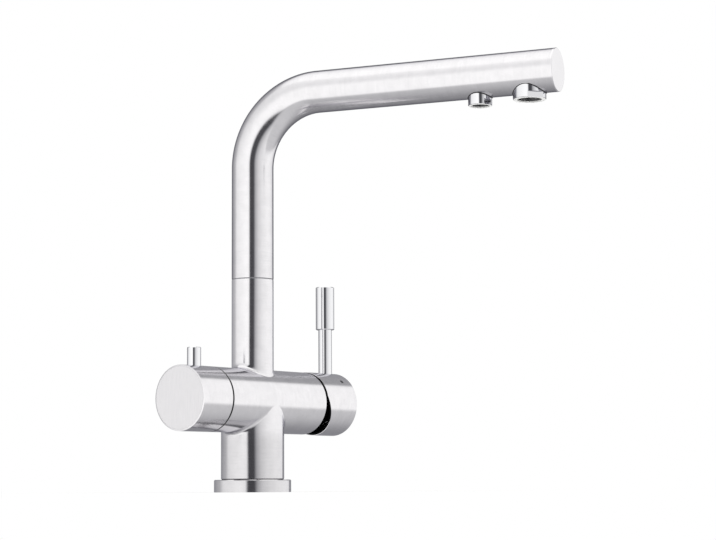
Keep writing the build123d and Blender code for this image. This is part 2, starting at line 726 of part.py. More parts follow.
# Lever rod: screwed into the hub through the handle's wall
with BuildPart() as lever_rod:
    bar(level(rod_seat - rod_thread_length, lever_x), rod_thread_radius, rod_thread_length)
    bar(level(rod_seat, lever_x), rod_radius, grip_bottom - rod_seat)
    bar(level(grip_bottom, lever_x), grip_spigot_radius, grip_spigot_length)
lever_rod.part.label = "lever_rod"
export_step(lever_rod.part, "parts/lever_rod.step")

# Lever grip: the thicker flat-topped sleeve on the rod
with BuildPart() as lever_grip:
    bar(level(grip_bottom, lever_x), grip_radius, grip_length)
    chamfer(lever_grip.edges().filter_by(GeomType.CIRCLE), length=grip_edge_break)
    bar(level(grip_bottom, lever_x), grip_spigot_radius + fit_clearance, grip_spigot_length + free_gap,
        Mode.SUBTRACT)
lever_grip.part.label = "lever_grip"
export_step(lever_grip.part, "parts/lever_grip.step")

# Filter headpart: the brass quarter-turn valve screwed into the barrel's left end
headpart_seat = -headpart_floor - headpart_seal_height
cage_end = headpart_seat + headpart_seal_height * cage_lap_share
filter_fixed_end = headpart_seat - filter_disc_height
filter_moving_start = filter_fixed_end - disc_running_gap
filter_moving_end = filter_moving_start - filter_disc_height
spindle_foot_end = filter_moving_end - spindle_foot_height
cage_bore_end = spindle_foot_end - free_gap
neck_end = -barrel_left - headpart_flange_height - headpart_hex_height - headpart_neck_length
with BuildPart() as filter_headpart:
    bar(across(-barrel_left), headpart_bore_radius - fit_clearance, barrel_left - headpart_thread_end)
    bar(across(-headpart_thread_end), cage_radius, headpart_thread_end + cage_end)
    bar(across(-barrel_left), headpart_flange_radius, -headpart_flange_height)
    hexagon(across(-barrel_left - headpart_flange_height), headpart_hex, -headpart_hex_height)
    bar(across(neck_end), headpart_neck_radius, headpart_neck_length)
    bar(across(cage_bore_end), filter_disc_radius + slide_clearance, cage_end - cage_bore_end + overrun,
        Mode.SUBTRACT)
    bar(across(neck_end - overrun), spindle_radius + running_clearance,
        cage_bore_end - neck_end + 2 * overrun, Mode.SUBTRACT)
    block(across(cage_bore_end), 2 * headpart_bore_radius, cage_window_width, cage_window_length,
          Mode.SUBTRACT)
filter_headpart.part.label = "filter_headpart"
export_step(filter_headpart.part, "parts/filter_headpart.step")

# Headpart seal: the rubber ring between the fixed disc and the floor of its bore
with BuildPart() as headpart_seal:
    ring(across(headpart_seat), filter_disc_radius, filter_disc_radius - headpart_seal_wall,
         headpart_seal_height)
headpart_seal.part.label = "headpart_seal"
export_step(headpart_seal.part, "parts/headpart_seal.step")

# Filter valve discs: one fixed, and one that turns with the spindle
filter_disc_ports = (-filter_disc_port_side, filter_disc_port_side)
with BuildPart() as filter_fixed_disc:
    bar(across(filter_fixed_end), filter_disc_radius, filter_disc_height)
    for side in filter_disc_ports:
        bar(across(filter_fixed_end - overrun, 0, side), filter_disc_port_radius,
            filter_disc_height + 2 * overrun, Mode.SUBTRACT)
filter_fixed_disc.part.label = "filter_fixed_disc"
export_step(filter_fixed_disc.part, "parts/filter_fixed_disc.step")

with BuildPart() as filter_moving_disc:
    bar(across(filter_moving_end), filter_disc_radius, filter_disc_height)
    for side in filter_disc_ports:
        bar(across(filter_moving_end - overrun, side), filter_disc_port_radius,
            filter_disc_height + 2 * overrun, Mode.SUBTRACT)
filter_moving_disc.part.label = "filter_moving_disc"
export_step(filter_moving_disc.part, "parts/filter_moving_disc.step")

# Filter spindle: turns the moving disc and carries the knob on its square
clip_start = neck_end - free_gap
square_start = clip_start - clip_thickness
spindle_ring_x = -barrel_left + spindle_ring_inset
with BuildPart() as filter_spindle:
    bar(across(spindle_foot_end), filter_disc_radius - spindle_foot_step, spindle_foot_height)
    for side in filter_disc_ports:
        bar(across(spindle_foot_end - overrun, side), filter_disc_port_radius,
            spindle_foot_height + 2 * overrun, Mode.SUBTRACT)
    bar(across(square_start), spindle_radius, spindle_foot_end - square_start)
    block(across(spindle_end), spindle_square, spindle_square, square_start - spindle_end)
    ring(across(clip_start), spindle_radius + overrun, spindle_radius - clip_groove_depth, -clip_thickness,
         Mode.SUBTRACT)
    ring(across(spindle_ring_x), spindle_radius + overrun, spindle_radius - spindle_ring_wall,
         spindle_ring_height + free_gap, Mode.SUBTRACT)
    bar(across(spindle_end - overrun), knob_screw_radius + fit_clearance,
        knob_screw_lap + overrun + free_gap, Mode.SUBTRACT)
filter_spindle.part.label = "filter_spindle"
export_step(filter_spindle.part, "parts/filter_spindle.step")

# Spindle O-ring and spindle clip
with BuildPart() as spindle_o_ring:
    squeezed_ring(across(spindle_ring_x), spindle_radius, spindle_ring_wall - fit_clearance,
                  spindle_ring_height)
    rounded(spindle_o_ring.edges().filter_by(GeomType.CIRCLE), spindle_ring_wall, spindle_ring_height)
spindle_o_ring.part.label = "spindle_o_ring"
export_step(spindle_o_ring.part, "parts/spindle_o_ring.step")

with BuildPart() as spindle_clip:
    ring(across(clip_start), spindle_radius + clip_rim, spindle_radius - clip_groove_depth, -clip_thickness)
spindle_clip.part.label = "spindle_clip"
export_step(spindle_clip.part, "parts/spindle_clip.step")

# Knob glide ring: the plastic washer on the barrel's end that shows as the knob's dark seam
with BuildPart() as knob_glide_ring:
    ring(across(-barrel_left), barrel_radius - seam_break, headpart_flange_radius + free_gap,
         -glide_ring_height)
knob_glide_ring.part.label = "knob_glide_ring"
export_step(knob_glide_ring.part, "parts/knob_glide_ring.step")

# Knob shell: the turned steel cup that turns the filter valve
knob_cavity_end = square_start - knob_cavity_spare
screw_head_end = knob_end + knob_cap_thickness
screw_seat = screw_head_end + knob_screw_head_height + free_gap
pin_foot = barrel_height + barrel_radius - pin_seat_sink
with BuildPart() as knob_shell:
    bar(across(knob_end), barrel_radius, knob_length)
    chamfer(knob_shell.edges().group_by(Axis.X)[0], length=knob_bevel_width, length2=knob_bevel_depth,
            reference=knob_shell.faces().sort_by(Axis.X)[0])
    chamfer(knob_shell.edges().group_by(Axis.X)[-1], length=edge_break)
    bar(across(knob_cavity_end), knob_cavity_radius, knob_start - knob_cavity_end + overrun, Mode.SUBTRACT)
    block(across(spindle_end - free_gap), spindle_square + 2 * fit_clearance,
          spindle_square + 2 * fit_clearance, knob_cavity_end - spindle_end + free_gap + overrun,
          Mode.SUBTRACT)
    bar(across(knob_end - overrun), knob_cap_radius + fit_clearance, knob_cap_thickness + overrun,
        Mode.SUBTRACT)
    bar(across(knob_end), knob_screw_head_radius + slide_clearance, screw_seat - knob_end, Mode.SUBTRACT)
    bar(across(knob_end), knob_screw_radius + slide_clearance, spindle_end - knob_end, Mode.SUBTRACT)
    bar(level(pin_foot, pin_x), pin_radius + fit_clearance, pin_seat_sink + overrun, Mode.SUBTRACT)
    bar(level(pin_foot - pin_thread_length - free_gap, pin_x), pin_thread_radius + fit_clearance,
        pin_thread_length + overrun, Mode.SUBTRACT)
knob_shell.part.label = "knob_shell"
export_step(knob_shell.part, "parts/knob_shell.step")

# Knob face cap: the bare round plate that hides the knob's screw
with BuildPart() as knob_face_cap:
    bar(across(knob_end), knob_cap_radius, knob_cap_thickness)
knob_face_cap.part.label = "knob_face_cap"
export_step(knob_face_cap.part, "parts/knob_face_cap.step")

# Knob screw: holds the knob on the spindle's square
with BuildPart() as knob_screw:
    bar(across(screw_seat), knob_screw_head_radius, -knob_screw_head_height)
    bar(across(screw_seat), knob_screw_radius, spindle_end + knob_screw_lap - screw_seat)
    hexagon(across(screw_seat - knob_screw_head_height), knob_screw_head_radius,
            knob_screw_head_height * hex_key_share, Mode.SUBTRACT)
knob_screw.part.label = "knob_screw"
export_step(knob_screw.part, "parts/knob_screw.step")

# Knob pin: the short polished pin that turns the knob
with BuildPart() as knob_pin:
    bar(level(pin_foot, pin_x), pin_radius, pin_top - pin_foot)
    chamfer(knob_pin.edges().group_by(Axis.Z)[-1], length=pin_edge_break)
    bar(level(pin_foot - pin_thread_length, pin_x), pin_thread_radius, pin_thread_length)
knob_pin.part.label = "knob_pin"
export_step(knob_pin.part, "parts/knob_pin.step")

# Slip ring: the thin plastic washer that shows as the swivel's seam
with BuildPart() as slip_ring:
    ring(level(swivel_height), riser_radius - seam_break, stub_bore_radius + slide_clearance,
         slip_ring_height)
slip_ring.part.label = "slip_ring"
export_step(slip_ring.part, "parts/slip_ring.step")

# Spout lock screw: its tip runs in the tail's groove and stops the swing
lock_tip_start = tail_radius - lock_tip_depth
lock_shoulder = stub_bore_radius + free_gap


def lock_plane(distance):
    """Plane square to the lock screw at the back of the riser, at a distance from its axis."""
    return Plane(origin=(0, distance, lock_height), x_dir=(1, 0, 0), z_dir=(0, 1, 0))


with BuildPart() as spout_lock_screw:
    bar(lock_plane(lock_shoulder), lock_screw_radius, riser_radius - lock_shoulder - edge_break)
    bar(lock_plane(lock_tip_start), lock_tip_radius, lock_shoulder - lock_tip_start)
    hexagon(lock_plane(riser_radius - edge_break), lock_screw_radius,
            (lock_shoulder - riser_radius) * hex_key_share, Mode.SUBTRACT)
spout_lock_screw.part.label = "spout_lock_screw"
export_step(spout_lock_screw.part, "parts/spout_lock_screw.step")

# Filter feed nipple: carries filtered water up into the spout's inner tube
nipple_ring_foot = nipple_top - nipple_ring_drop
with BuildPart() as filter_feed_nipple:
    bar(level(stub_floor - nipple_thread_length), nipple_thread_radius, nipple_thread_length)
    hexagon(level(stub_floor), nipple_hex, nipple_hex_height)
    bar(level(stub_floor), nipple_radius, nipple_top - stub_floor)
    chamfer(filter_feed_nipple.edges().group_by(Axis.Z)[-1], length=edge_break)
    ring(level(nipple_ring_foot), nipple_radius + overrun, nipple_radius - nipple_ring_wall,
         nipple_ring_height + free_gap, Mode.SUBTRACT)
    bar(level(stub_floor - nipple_thread_length - overrun), nipple_bore_radius,
        nipple_thread_length + nipple_length + 2 * overrun, Mode.SUBTRACT)
filter_feed_nipple.part.label = "filter_feed_nipple"
export_step(filter_feed_nipple.part, "parts/filter_feed_nipple.step")

with BuildPart() as nipple_o_ring:
    squeezed_ring(level(nipple_ring_foot), water_tube_bore_radius - running_clearance,
                  nipple_ring_wall, nipple_ring_height)
    rounded(nipple_o_ring.edges().filter_by(GeomType.CIRCLE), nipple_ring_wall, nipple_ring_height)
nipple_o_ring.part.label = "nipple_o_ring"
export_step(nipple_o_ring.part, "parts/nipple_o_ring.step")

# Spout tube: one brushed steel tube, up, round the bend and out along the arm
cap_start = spout_reach - cap_thickness
outlet_places = [(main_outlet_reach, main_outlet_radius), (filter_outlet_reach, filter_outlet_radius)]
arm_plane = Plane(origin=(0, 0, 0), x_dir=spout_way, z_dir=spout_side)
with BuildPart() as spout_tube:
    with BuildLine(arm_plane) as tube_axis:
        FilletPolyline((0, tube_start), (0, spout_height), (cap_start, spout_height),
                       radius=spout_bend_radius)
    with BuildSketch(level(tube_start)):
        Circle(riser_radius)
        Circle(tube_bore_radius, mode=Mode.SUBTRACT)
    sweep(path=tube_axis.line)
    for reach, radius in outlet_places:
        bar(under_arm(reach, spout_height), radius + fit_clearance, -riser_radius - overrun, Mode.SUBTRACT)
spout_tube.part.label = "spout_tube"
export_step(spout_tube.part, "parts/spout_tube.step")

# Spout tail: the brass plug brazed into the tube's foot, which turns in the stub
lock_groove_height = lock_tip_radius + free_gap
lock_groove_angle = spout_swing + degrees(asin(lock_groove_height / tail_radius))
lock_groove_centre = screw_side + spout_rest_turn
with BuildPart() as spout_tail:
    bar(level(tail_bottom), tail_radius, tail_depth)
    bar(level(tube_start), tube_bore_radius - fit_clearance, tail_socket_height)
    chamfer(spout_tail.edges().group_by(Axis.Z)[-1], length=edge_break)
    chamfer(spout_tail.edges().group_by(Axis.Z)[0], length=edge_break)
    for drop in slide_ring_drops:
        ring(level(tube_start - drop - slide_ring_height - running_clearance), tail_radius + overrun,
             stub_bore_radius - running_clearance - slide_ring_wall,
             slide_ring_height + 2 * running_clearance, Mode.SUBTRACT)
    for drop in o_ring_drops:
        ring(level(tube_start - drop - o_ring_height - running_clearance), tail_radius + overrun,
             stub_bore_radius - running_clearance - o_ring_wall, o_ring_height + 2 * running_clearance,
             Mode.SUBTRACT)
    with BuildSketch(level(lock_height - lock_groove_height)):
        with BuildLine():
            near_arc = CenterArc((0, 0), tail_radius - lock_groove_depth,
                                 lock_groove_centre - lock_groove_angle, 2 * lock_groove_angle)
            far_arc = CenterArc((0, 0), tail_radius + overrun, lock_groove_centre - lock_groove_angle,
                                2 * lock_groove_angle)
            Line(near_arc @ 0, far_arc @ 0)
            Line(near_arc @ 1, far_arc @ 1)
        make_face()
    extrude(amount=2 * lock_groove_height, mode=Mode.SUBTRACT)
    bar(level(tail_bottom - overrun), tail_bore_radius, tail_depth + tail_socket_height + 2 * overrun,
        Mode.SUBTRACT)
spout_tail.part.label = "spout_tail"
export_step(spout_tail.part, "parts/spout_tail.step")

# Slide rings and O-rings that guide and seal the tail
with BuildPart() as tail_slide_rings:
    for drop in slide_ring_drops:
        ring(level(tube_start - drop - slide_ring_height), stub_bore_radius - running_clearance,
             stub_bore_radius - running_clearance - slide_ring_wall, slide_ring_height)
tail_slide_rings.part.label = "tail_slide_rings"
export_step(tail_slide_rings.part, "parts/tail_slide_rings.step")

with BuildPart() as tail_o_rings:
    for drop in o_ring_drops:
        squeezed_ring(level(tube_start - drop - o_ring_height), stub_bore_radius - running_clearance,
                      o_ring_wall, o_ring_height)
    rounded(tail_o_rings.edges().filter_by(GeomType.CIRCLE), o_ring_wall, o_ring_height)
tail_o_rings.part.label = "tail_o_rings"
export_step(tail_o_rings.part, "parts/tail_o_rings.step")

# Spout end cap: a disc as wide as the tube, with a spigot pressed into its bore
with BuildPart() as spout_end_cap:
    bar(along_arm(cap_start), riser_radius, cap_thickness)
    chamfer(spout_end_cap.faces().sort_by(Axis(along_arm(0).origin, spout_way))[-1].edges(),
            length=edge_break)
    ring(along_arm(cap_start), tube_bore_radius - fit_clearance,
         tube_bore_radius - fit_clearance - tube_wall, -cap_spigot_length)
spout_end_cap.part.label = "spout_end_cap"
export_step(spout_end_cap.part, "parts/spout_end_cap.step")

# Main outlet housing: the chromed aerator housing near the spout's end
aerator_radius = main_outlet_radius - main_outlet_flat_depth - outlet_wall
aerator_bottom = main_outlet_bottom + main_outlet_recess
aerator_top = aerator_bottom + aerator_height
aerator_bore_radius = aerator_radius - outlet_wall
aerator_hole_pitch = (aerator_bore_radius - aerator_hole_radius - aerator_hole_margin) / aerator_hole_rings
strainer_top = aerator_top + strainer_height
outlet_gasket_top = strainer_top + outlet_gasket_height


def spanner_flats(plane, radius, depth, turn, height):
    """Cuts two spanner flats into a round housing, up from its lower face."""
    with BuildSketch(plane.rotated((0, 0, -turn))) as section:
        Circle(radius + overrun)
        Rectangle(2 * (radius - depth), 2 * (radius + overrun), mode=Mode.SUBTRACT)
    extrude(section.sketch, amount=height, mode=Mode.SUBTRACT)


def ringed_holes(plane, radius, pitch, rings, length):
    """Cuts a centre hole and rings of holes, each with six more than the one inside it."""
    with BuildSketch(plane) as section:
        Circle(radius)
        for n in range(1, rings + 1):
            with PolarLocations(n * pitch, n * holes_per_ring):
                Circle(radius)
    extrude(section.sketch, amount=length, mode=Mode.SUBTRACT)


with BuildPart() as main_outlet_housing:
    main_foot = under_arm(main_outlet_reach, main_outlet_bottom)
    bar(main_foot, main_outlet_radius, main_outlet_top - main_outlet_bottom)
    chamfer(main_outlet_housing.edges().group_by(Axis.Z)[0], length=outlet_edge_break)
    spanner_flats(main_foot, main_outlet_radius, main_outlet_flat_depth, main_outlet_flat_turn,
                  main_outlet_flat_height)
    bar(main_foot, aerator_radius, outlet_gasket_top - main_outlet_bottom, Mode.SUBTRACT)
    bar(main_foot, aerator_radius - outlet_gasket_wall, main_outlet_top - main_outlet_bottom, Mode.SUBTRACT)
main_outlet_housing.part.label = "main_outlet_housing"
export_step(main_outlet_housing.part, "parts/main_outlet_housing.step")

# Aerator insert: the black plastic cup with the ringed holes that shows from below
with BuildPart() as aerator_insert:
    insert_foot = under_arm(main_outlet_reach, aerator_bottom)
    bar(insert_foot, aerator_radius - fit_clearance, aerator_height)
    bar(insert_foot.offset(aerator_plate), aerator_bore_radius, aerator_height, Mode.SUBTRACT)
    ringed_holes(insert_foot, aerator_hole_radius, aerator_hole_pitch, aerator_hole_rings, aerator_plate)
aerator_insert.part.label = "aerator_insert"
export_step(aerator_insert.part, "parts/aerator_insert.step")

# Aerator strainer: the plate with larger holes on top of the insert
with BuildPart() as aerator_strainer:
    strainer_foot = under_arm(main_outlet_reach, aerator_top)
    bar(strainer_foot, aerator_radius - fit_clearance, strainer_height)
    ringed_holes(strainer_foot, strainer_hole_radius, strainer_hole_pitch, strainer_hole_rings,
                 strainer_height)
aerator_strainer.part.label = "aerator_strainer"
export_step(aerator_strainer.part, "parts/aerator_strainer.step")

# Aerator gasket: the rubber ring between the strainer and the housing's lip
with BuildPart() as aerator_gasket:
    ring(under_arm(main_outlet_reach, strainer_top), aerator_radius - fit_clearance,
         aerator_radius - outlet_gasket_wall, outlet_gasket_height)
aerator_gasket.part.label = "aerator_gasket"
export_step(aerator_gasket.part, "parts/aerator_gasket.step")

# Filter outlet nozzle: the small chromed outlet, with an elbow and a barb inside the tube
filter_bore_radius = filter_outlet_radius - filter_outlet_flat_depth - outlet_wall
filter_insert_bottom = filter_outlet_bottom + filter_outlet_recess
filter_bore_top = filter_insert_bottom + filter_insert_height
with BuildPart() as filter_outlet_nozzle:
    filter_foot = under_arm(filter_outlet_reach, filter_outlet_bottom)
    bar(filter_foot, filter_outlet_radius, filter_outlet_top - filter_outlet_bottom)
    chamfer(filter_outlet_nozzle.edges().group_by(Axis.Z)[0], length=outlet_edge_break)
    spanner_flats(filter_foot, filter_outlet_radius, filter_outlet_flat_depth, filter_outlet_flat_turn,
                  filter_outlet_flat_height)
    bar(filter_foot, elbow_radius, spout_height + elbow_radius - filter_outlet_bottom)
    bar(along_arm(filter_outlet_reach), barb_radius, -elbow_radius - barb_length)
    bar(filter_foot, filter_bore_radius, filter_bore_top - filter_outlet_bottom, Mode.SUBTRACT)
    bar(filter_foot, elbow_bore_radius, spout_height - filter_outlet_bottom, Mode.SUBTRACT)
    bar(along_arm(filter_outlet_reach), barb_bore_radius, -elbow_radius - barb_length, Mode.SUBTRACT)
filter_outlet_nozzle.part.label = "filter_outlet_nozzle"
export_step(filter_outlet_nozzle.part, "parts/filter_outlet_nozzle.step")

# Filter outlet insert: the plastic jet plate in the small outlet
with BuildPart() as filter_outlet_insert:
    jet_foot = under_arm(filter_outlet_reach, filter_insert_bottom)
    bar(jet_foot, filter_bore_radius - fit_clearance, filter_insert_height)
    ringed_holes(jet_foot, filter_insert_hole_radius, filter_insert_hole_pitch, filter_insert_hole_rings,
                 filter_insert_height)
filter_outlet_insert.part.label = "filter_outlet_insert"
export_step(filter_outlet_insert.part, "parts/filter_outlet_insert.step")

# Filter water tube: the plastic tube inside the spout, from the nipple to the small outlet
tube_end = filter_outlet_reach - elbow_radius - free_gap
with BuildPart() as filter_water_tube:
    with BuildLine(arm_plane) as water_axis:
        FilletPolyline((0, water_tube_foot), (0, spout_height), (tube_end, spout_height),
                       radius=spout_bend_radius)
    with BuildSketch(level(water_tube_foot)):
        Circle(water_tube_radius)
        Circle(water_tube_bore_radius, mode=Mode.SUBTRACT)
    sweep(path=water_axis.line)
filter_water_tube.part.label = "filter_water_tube"
export_step(filter_water_tube.part, "parts/filter_water_tube.step")

# The swept tubes' volumes against their sections times their lengths
water_section = pi * (water_tube_radius**2 - water_tube_bore_radius**2)
water_length = sum(edge.length for edge in water_axis.edges())
print("filter water tube, length", round(water_length, 1), "bend radius", spout_bend_radius,
      "volume", round(filter_water_tube.part.volume), "of", round(water_section * water_length))
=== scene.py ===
# %% [markdown]
# # A three-way kitchen tap in brushed steel
#
# The tap stands on a pale floor in a white studio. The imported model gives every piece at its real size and
# place, and this script dresses it: procedural finishes, a swept spout with softened rims, seals round the
# outlets, a studio that a curved metal surface can reflect, and the camera.

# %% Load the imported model
import json
import math

import bpy
from mathutils import Matrix, Vector


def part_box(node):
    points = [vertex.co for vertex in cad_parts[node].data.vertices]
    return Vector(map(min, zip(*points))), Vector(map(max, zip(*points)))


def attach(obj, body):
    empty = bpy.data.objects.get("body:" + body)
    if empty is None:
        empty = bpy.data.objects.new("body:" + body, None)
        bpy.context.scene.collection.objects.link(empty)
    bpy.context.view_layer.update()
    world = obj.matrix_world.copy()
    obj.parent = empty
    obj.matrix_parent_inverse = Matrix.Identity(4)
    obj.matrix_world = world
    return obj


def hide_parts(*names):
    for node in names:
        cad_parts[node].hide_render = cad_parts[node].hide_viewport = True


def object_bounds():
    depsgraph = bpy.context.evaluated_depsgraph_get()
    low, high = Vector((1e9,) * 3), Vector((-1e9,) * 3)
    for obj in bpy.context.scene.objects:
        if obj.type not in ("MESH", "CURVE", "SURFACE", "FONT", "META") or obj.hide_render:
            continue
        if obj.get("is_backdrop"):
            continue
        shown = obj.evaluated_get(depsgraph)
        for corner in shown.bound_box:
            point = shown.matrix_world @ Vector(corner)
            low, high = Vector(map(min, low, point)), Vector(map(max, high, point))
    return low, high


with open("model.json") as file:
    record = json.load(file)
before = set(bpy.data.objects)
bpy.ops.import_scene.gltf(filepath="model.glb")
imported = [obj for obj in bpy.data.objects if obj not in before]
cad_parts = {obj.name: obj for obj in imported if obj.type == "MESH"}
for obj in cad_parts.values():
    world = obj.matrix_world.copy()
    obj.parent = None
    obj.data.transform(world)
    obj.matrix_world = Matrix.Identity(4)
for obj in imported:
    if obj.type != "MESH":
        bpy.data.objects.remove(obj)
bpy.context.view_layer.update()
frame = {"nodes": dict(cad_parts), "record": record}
nodes = frame["nodes"]
scene = bpy.context.scene
MM = 0.001

# %% [markdown]
# ## Sizes read from the model
#
# A finish that changes along the tap has to know where the barrel, the knob and the spout lie. Such places
# could be typed in. They come from the boxes of the model's own nodes instead, so a finish can't drift from
# what carries it.

# %% Axes and radii
body_low, body_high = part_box("valve_body")
knob_low, knob_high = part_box("knob_shell")
handle_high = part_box("handle_shell")[1]
end_low, end_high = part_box("spout_end_cap")
tube_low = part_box("spout_tube")[0]

BARREL_HEIGHT = (knob_low.z + knob_high.z) / 2
BARREL_RADIUS = body_high.y
TUBE_RADIUS = (end_high.z - end_low.z) / 2
SPOUT_HEIGHT = (end_high.z + end_low.z) / 2
TUBE_START = tube_low.z
SPOUT_TURN = math.atan2((end_low.x + end_high.x) / 2, -(end_low.y + end_high.y) / 2)
SPOUT_WAY = Vector((math.sin(SPOUT_TURN), -math.cos(SPOUT_TURN), 0))
SPOUT_SIDE = Vector((0, 0, 1)).cross(SPOUT_WAY)
print("barrel", round(BARREL_HEIGHT, 4), "spout turn", round(math.degrees(SPOUT_TURN), 2))

# %% [markdown]
# ## Colours and nodes
#
# Blender's sockets want linear light, and a person reads colours as sRGB hex values. One function stands
# between the two. A finish is a tree of nodes, and one small helper adds any node with its settings and its
# links, so that each line of the script is one step of the finish.

# %% Colour from sRGB hex
def srgb(hex_value):
    """Linear RGBA of a colour written as #RRGGBB."""
    channels = [int(hex_value[i:i + 2], 16) / 255 for i in (1, 3, 5)]
    linear = [c / 12.92 if c <= 0.04045 else ((c + 0.055) / 1.055) ** 2.4 for c in channels]
    return (*linear, 1.0)


print("white is", [round(v, 3) for v in srgb("#F2F2F2")])


# %% One helper for every node
def fill(tree, node, values):
    """Sets a node's sockets. A socket is linked, and a node stands for its first output."""
    for name, value in values.items():
        if isinstance(value, bpy.types.Node):
            value = value.outputs[0]
        if isinstance(value, bpy.types.NodeSocket):
            tree.links.new(value, node.inputs[name])
        else:
            node.inputs[name].default_value = value


def add(tree, kind, values=None, **settings):
    """Adds a node, sets its properties and fills its sockets with values or links."""
    node = tree.nodes.new(kind)
    for name, value in settings.items():
        setattr(node, name, value)
    fill(tree, node, values or {})
    return node


RISING, FALLING = (0.0, 1.0), (1.0, 0.0)
# A Map Range node with this setting eases in and out, instead of running straight
SMOOTH = {"interpolation_type": "SMOOTHSTEP"}


def spans(value, source, target=RISING):
    """What a Map Range node needs to carry a value from one span to another."""
    return {"Value": value, "From Min": source[0], "From Max": source[1],
            "To Min": target[0], "To Max": target[1]}


def material(name, **sockets):
    """A new material with one Principled shader, whose constants are set on its own sockets."""
    made = bpy.data.materials.new(name)
    made.use_nodes = True
    tree = made.node_tree
    tree.nodes.clear()
    shader = add(tree, "ShaderNodeBsdfPrincipled", sockets)
    add(tree, "ShaderNodeOutputMaterial", {"Surface": shader})
    return made, tree, shader


print("helpers", [helper.__name__ for helper in (fill, add, spans, material)])

# %% [markdown]
# ## Brushed stainless steel
#
# The tap's tubes are finished on a belt that runs round them. That leaves fine rings, and it smears every
# reflection along the tube while its edges round the tube stay crisp. The smear is the shader's anisotropy,
# which needs a tangent along the tube's axis. The rings could be an image that is wrapped round each tube.
# A noise that is fine along the axis and long round the tube needs no image and never repeats. Real rings
# lie about a third of a millimetre apart. The picture shows a millimetre as little more than a pixel, so
# they are drawn three times as coarse here, to show at all.
#
# Use leaves its marks too: handling gives a faint mottle a few millimetres wide. The foot is darkened with
# painted shade, as the light falls off towards the floor, and the broken edges on both sides of the knob's
# seam are darkened with painted shade, the shade of the seam's gap.

# %% Brushed steel
BRUSH_PITCH = 1.0 * MM
BRUSH_LENGTH = 14 * MM
BRUSH_ROUGHNESS = (0.13, 0.17)
BRUSH_BUMP = 0.02
BRUSH_DEPTH = 0.05 * MM
# How many finer layers each noise has
RING_DETAIL, CLOUD_DETAIL, GRAIN_DETAIL = 3.0, 2.0, 4.0
STEEL_DARK, STEEL_LIGHT = "#E1E0E2", "#EDEBED"
BRUSHED = {"Metallic": 1.0, "Anisotropic": 0.7, "Specular Tint": srgb("#EAEAEE")}
# Nearly all of a noise lies within this span
NOISE_SPAN = (0.3, 0.7)
MOTTLE_SIZE = 7 * MM
MOTTLE_SHADE = (0.965, 1.025)
# Painted shade at the foot: the steel is darker below these heights, where the light falls off
FOOT_TOP = (34 * MM, 46 * MM)
FOOT_PAINTED_SHADE = 0.85
# Painted shade on the broken edges on both sides of the knob's seam
KNOB_SEAM = (body_low.x + knob_high.x) / 2
SEAM_REACH = (0.7 * MM, 0.85 * MM)
SEAM_PAINTED_SHADE = 0.2
# A tangent that is square to a face has no direction on it, so each axis is tipped by this much
AXIS_TIP = (0.011, 0.017, 0.013)


def axis_vector(tree, x, y, z):
    """An axis of the piece as a world direction, tipped so that it never meets a face square on."""
    vector = add(tree, "ShaderNodeCombineXYZ", {"X": x, "Y": y, "Z": z})
    tipped = add(tree, "ShaderNodeVectorMath", {0: vector, 1: AXIS_TIP}, operation="ADD")
    return add(tree, "ShaderNodeVectorTransform", {"Vector": tipped}, vector_type="VECTOR",
               convert_from="OBJECT", convert_to="WORLD")


def brush_finish(tree, shader, coordinates, tangent, mottle_shade=MOTTLE_SHADE):
    """Gives a shader rings that are fine along the first coordinate, a mottle of use, and painted shade at
    the foot and beside the knob's seam.
    """
    stretched = add(tree, "ShaderNodeMapping", {
        "Vector": coordinates, "Scale": (1 / BRUSH_PITCH, 1 / BRUSH_LENGTH, 1 / BRUSH_LENGTH)})
    rings = add(tree, "ShaderNodeTexNoise", {
        "Vector": stretched, "Scale": 1.0, "Detail": RING_DETAIL}).outputs["Fac"]
    tint = add(tree, "ShaderNodeMixRGB", {
        "Fac": rings, "Color1": srgb(STEEL_DARK), "Color2": srgb(STEEL_LIGHT)})

    place = add(tree, "ShaderNodeTexCoord").outputs["Object"]
    x, _, z = add(tree, "ShaderNodeSeparateXYZ", {"Vector": place}).outputs
    clouds = add(tree, "ShaderNodeTexNoise", {
        "Vector": place, "Scale": 1 / MOTTLE_SIZE, "Detail": CLOUD_DETAIL})
    mottle = add(tree, "ShaderNodeMapRange", spans(clouds.outputs["Fac"], NOISE_SPAN, mottle_shade))
    # Painted shade: darker towards the foot
    foot_painted_shade = add(tree, "ShaderNodeMapRange", spans(z, FOOT_TOP, (FOOT_PAINTED_SHADE, 1.0)), **SMOOTH)
    # Painted shade beside the knob's seam
    from_seam = add(tree, "ShaderNodeMath", {0: x, 1: KNOB_SEAM}, operation="SUBTRACT")
    from_seam = add(tree, "ShaderNodeMath", {0: from_seam}, operation="ABSOLUTE")
    seam_painted_shade = add(tree, "ShaderNodeMapRange", spans(from_seam, SEAM_REACH, (SEAM_PAINTED_SHADE, 1.0)))
    shade = add(tree, "ShaderNodeMath", {0: foot_painted_shade, 1: seam_painted_shade}, operation="MULTIPLY")
    shade = add(tree, "ShaderNodeMath", {0: shade, 1: mottle}, operation="MULTIPLY")

    fill(tree, shader, {
        "Roughness": add(tree, "ShaderNodeMapRange", spans(rings, NOISE_SPAN, BRUSH_ROUGHNESS)),
        "Base Color": add(tree, "ShaderNodeVectorMath", {0: tint, "Scale": shade}, operation="SCALE"),
        "Normal": add(tree, "ShaderNodeBump", {
            "Height": rings, "Strength": BRUSH_BUMP, "Distance": BRUSH_DEPTH}),
        "Tangent": tangent})


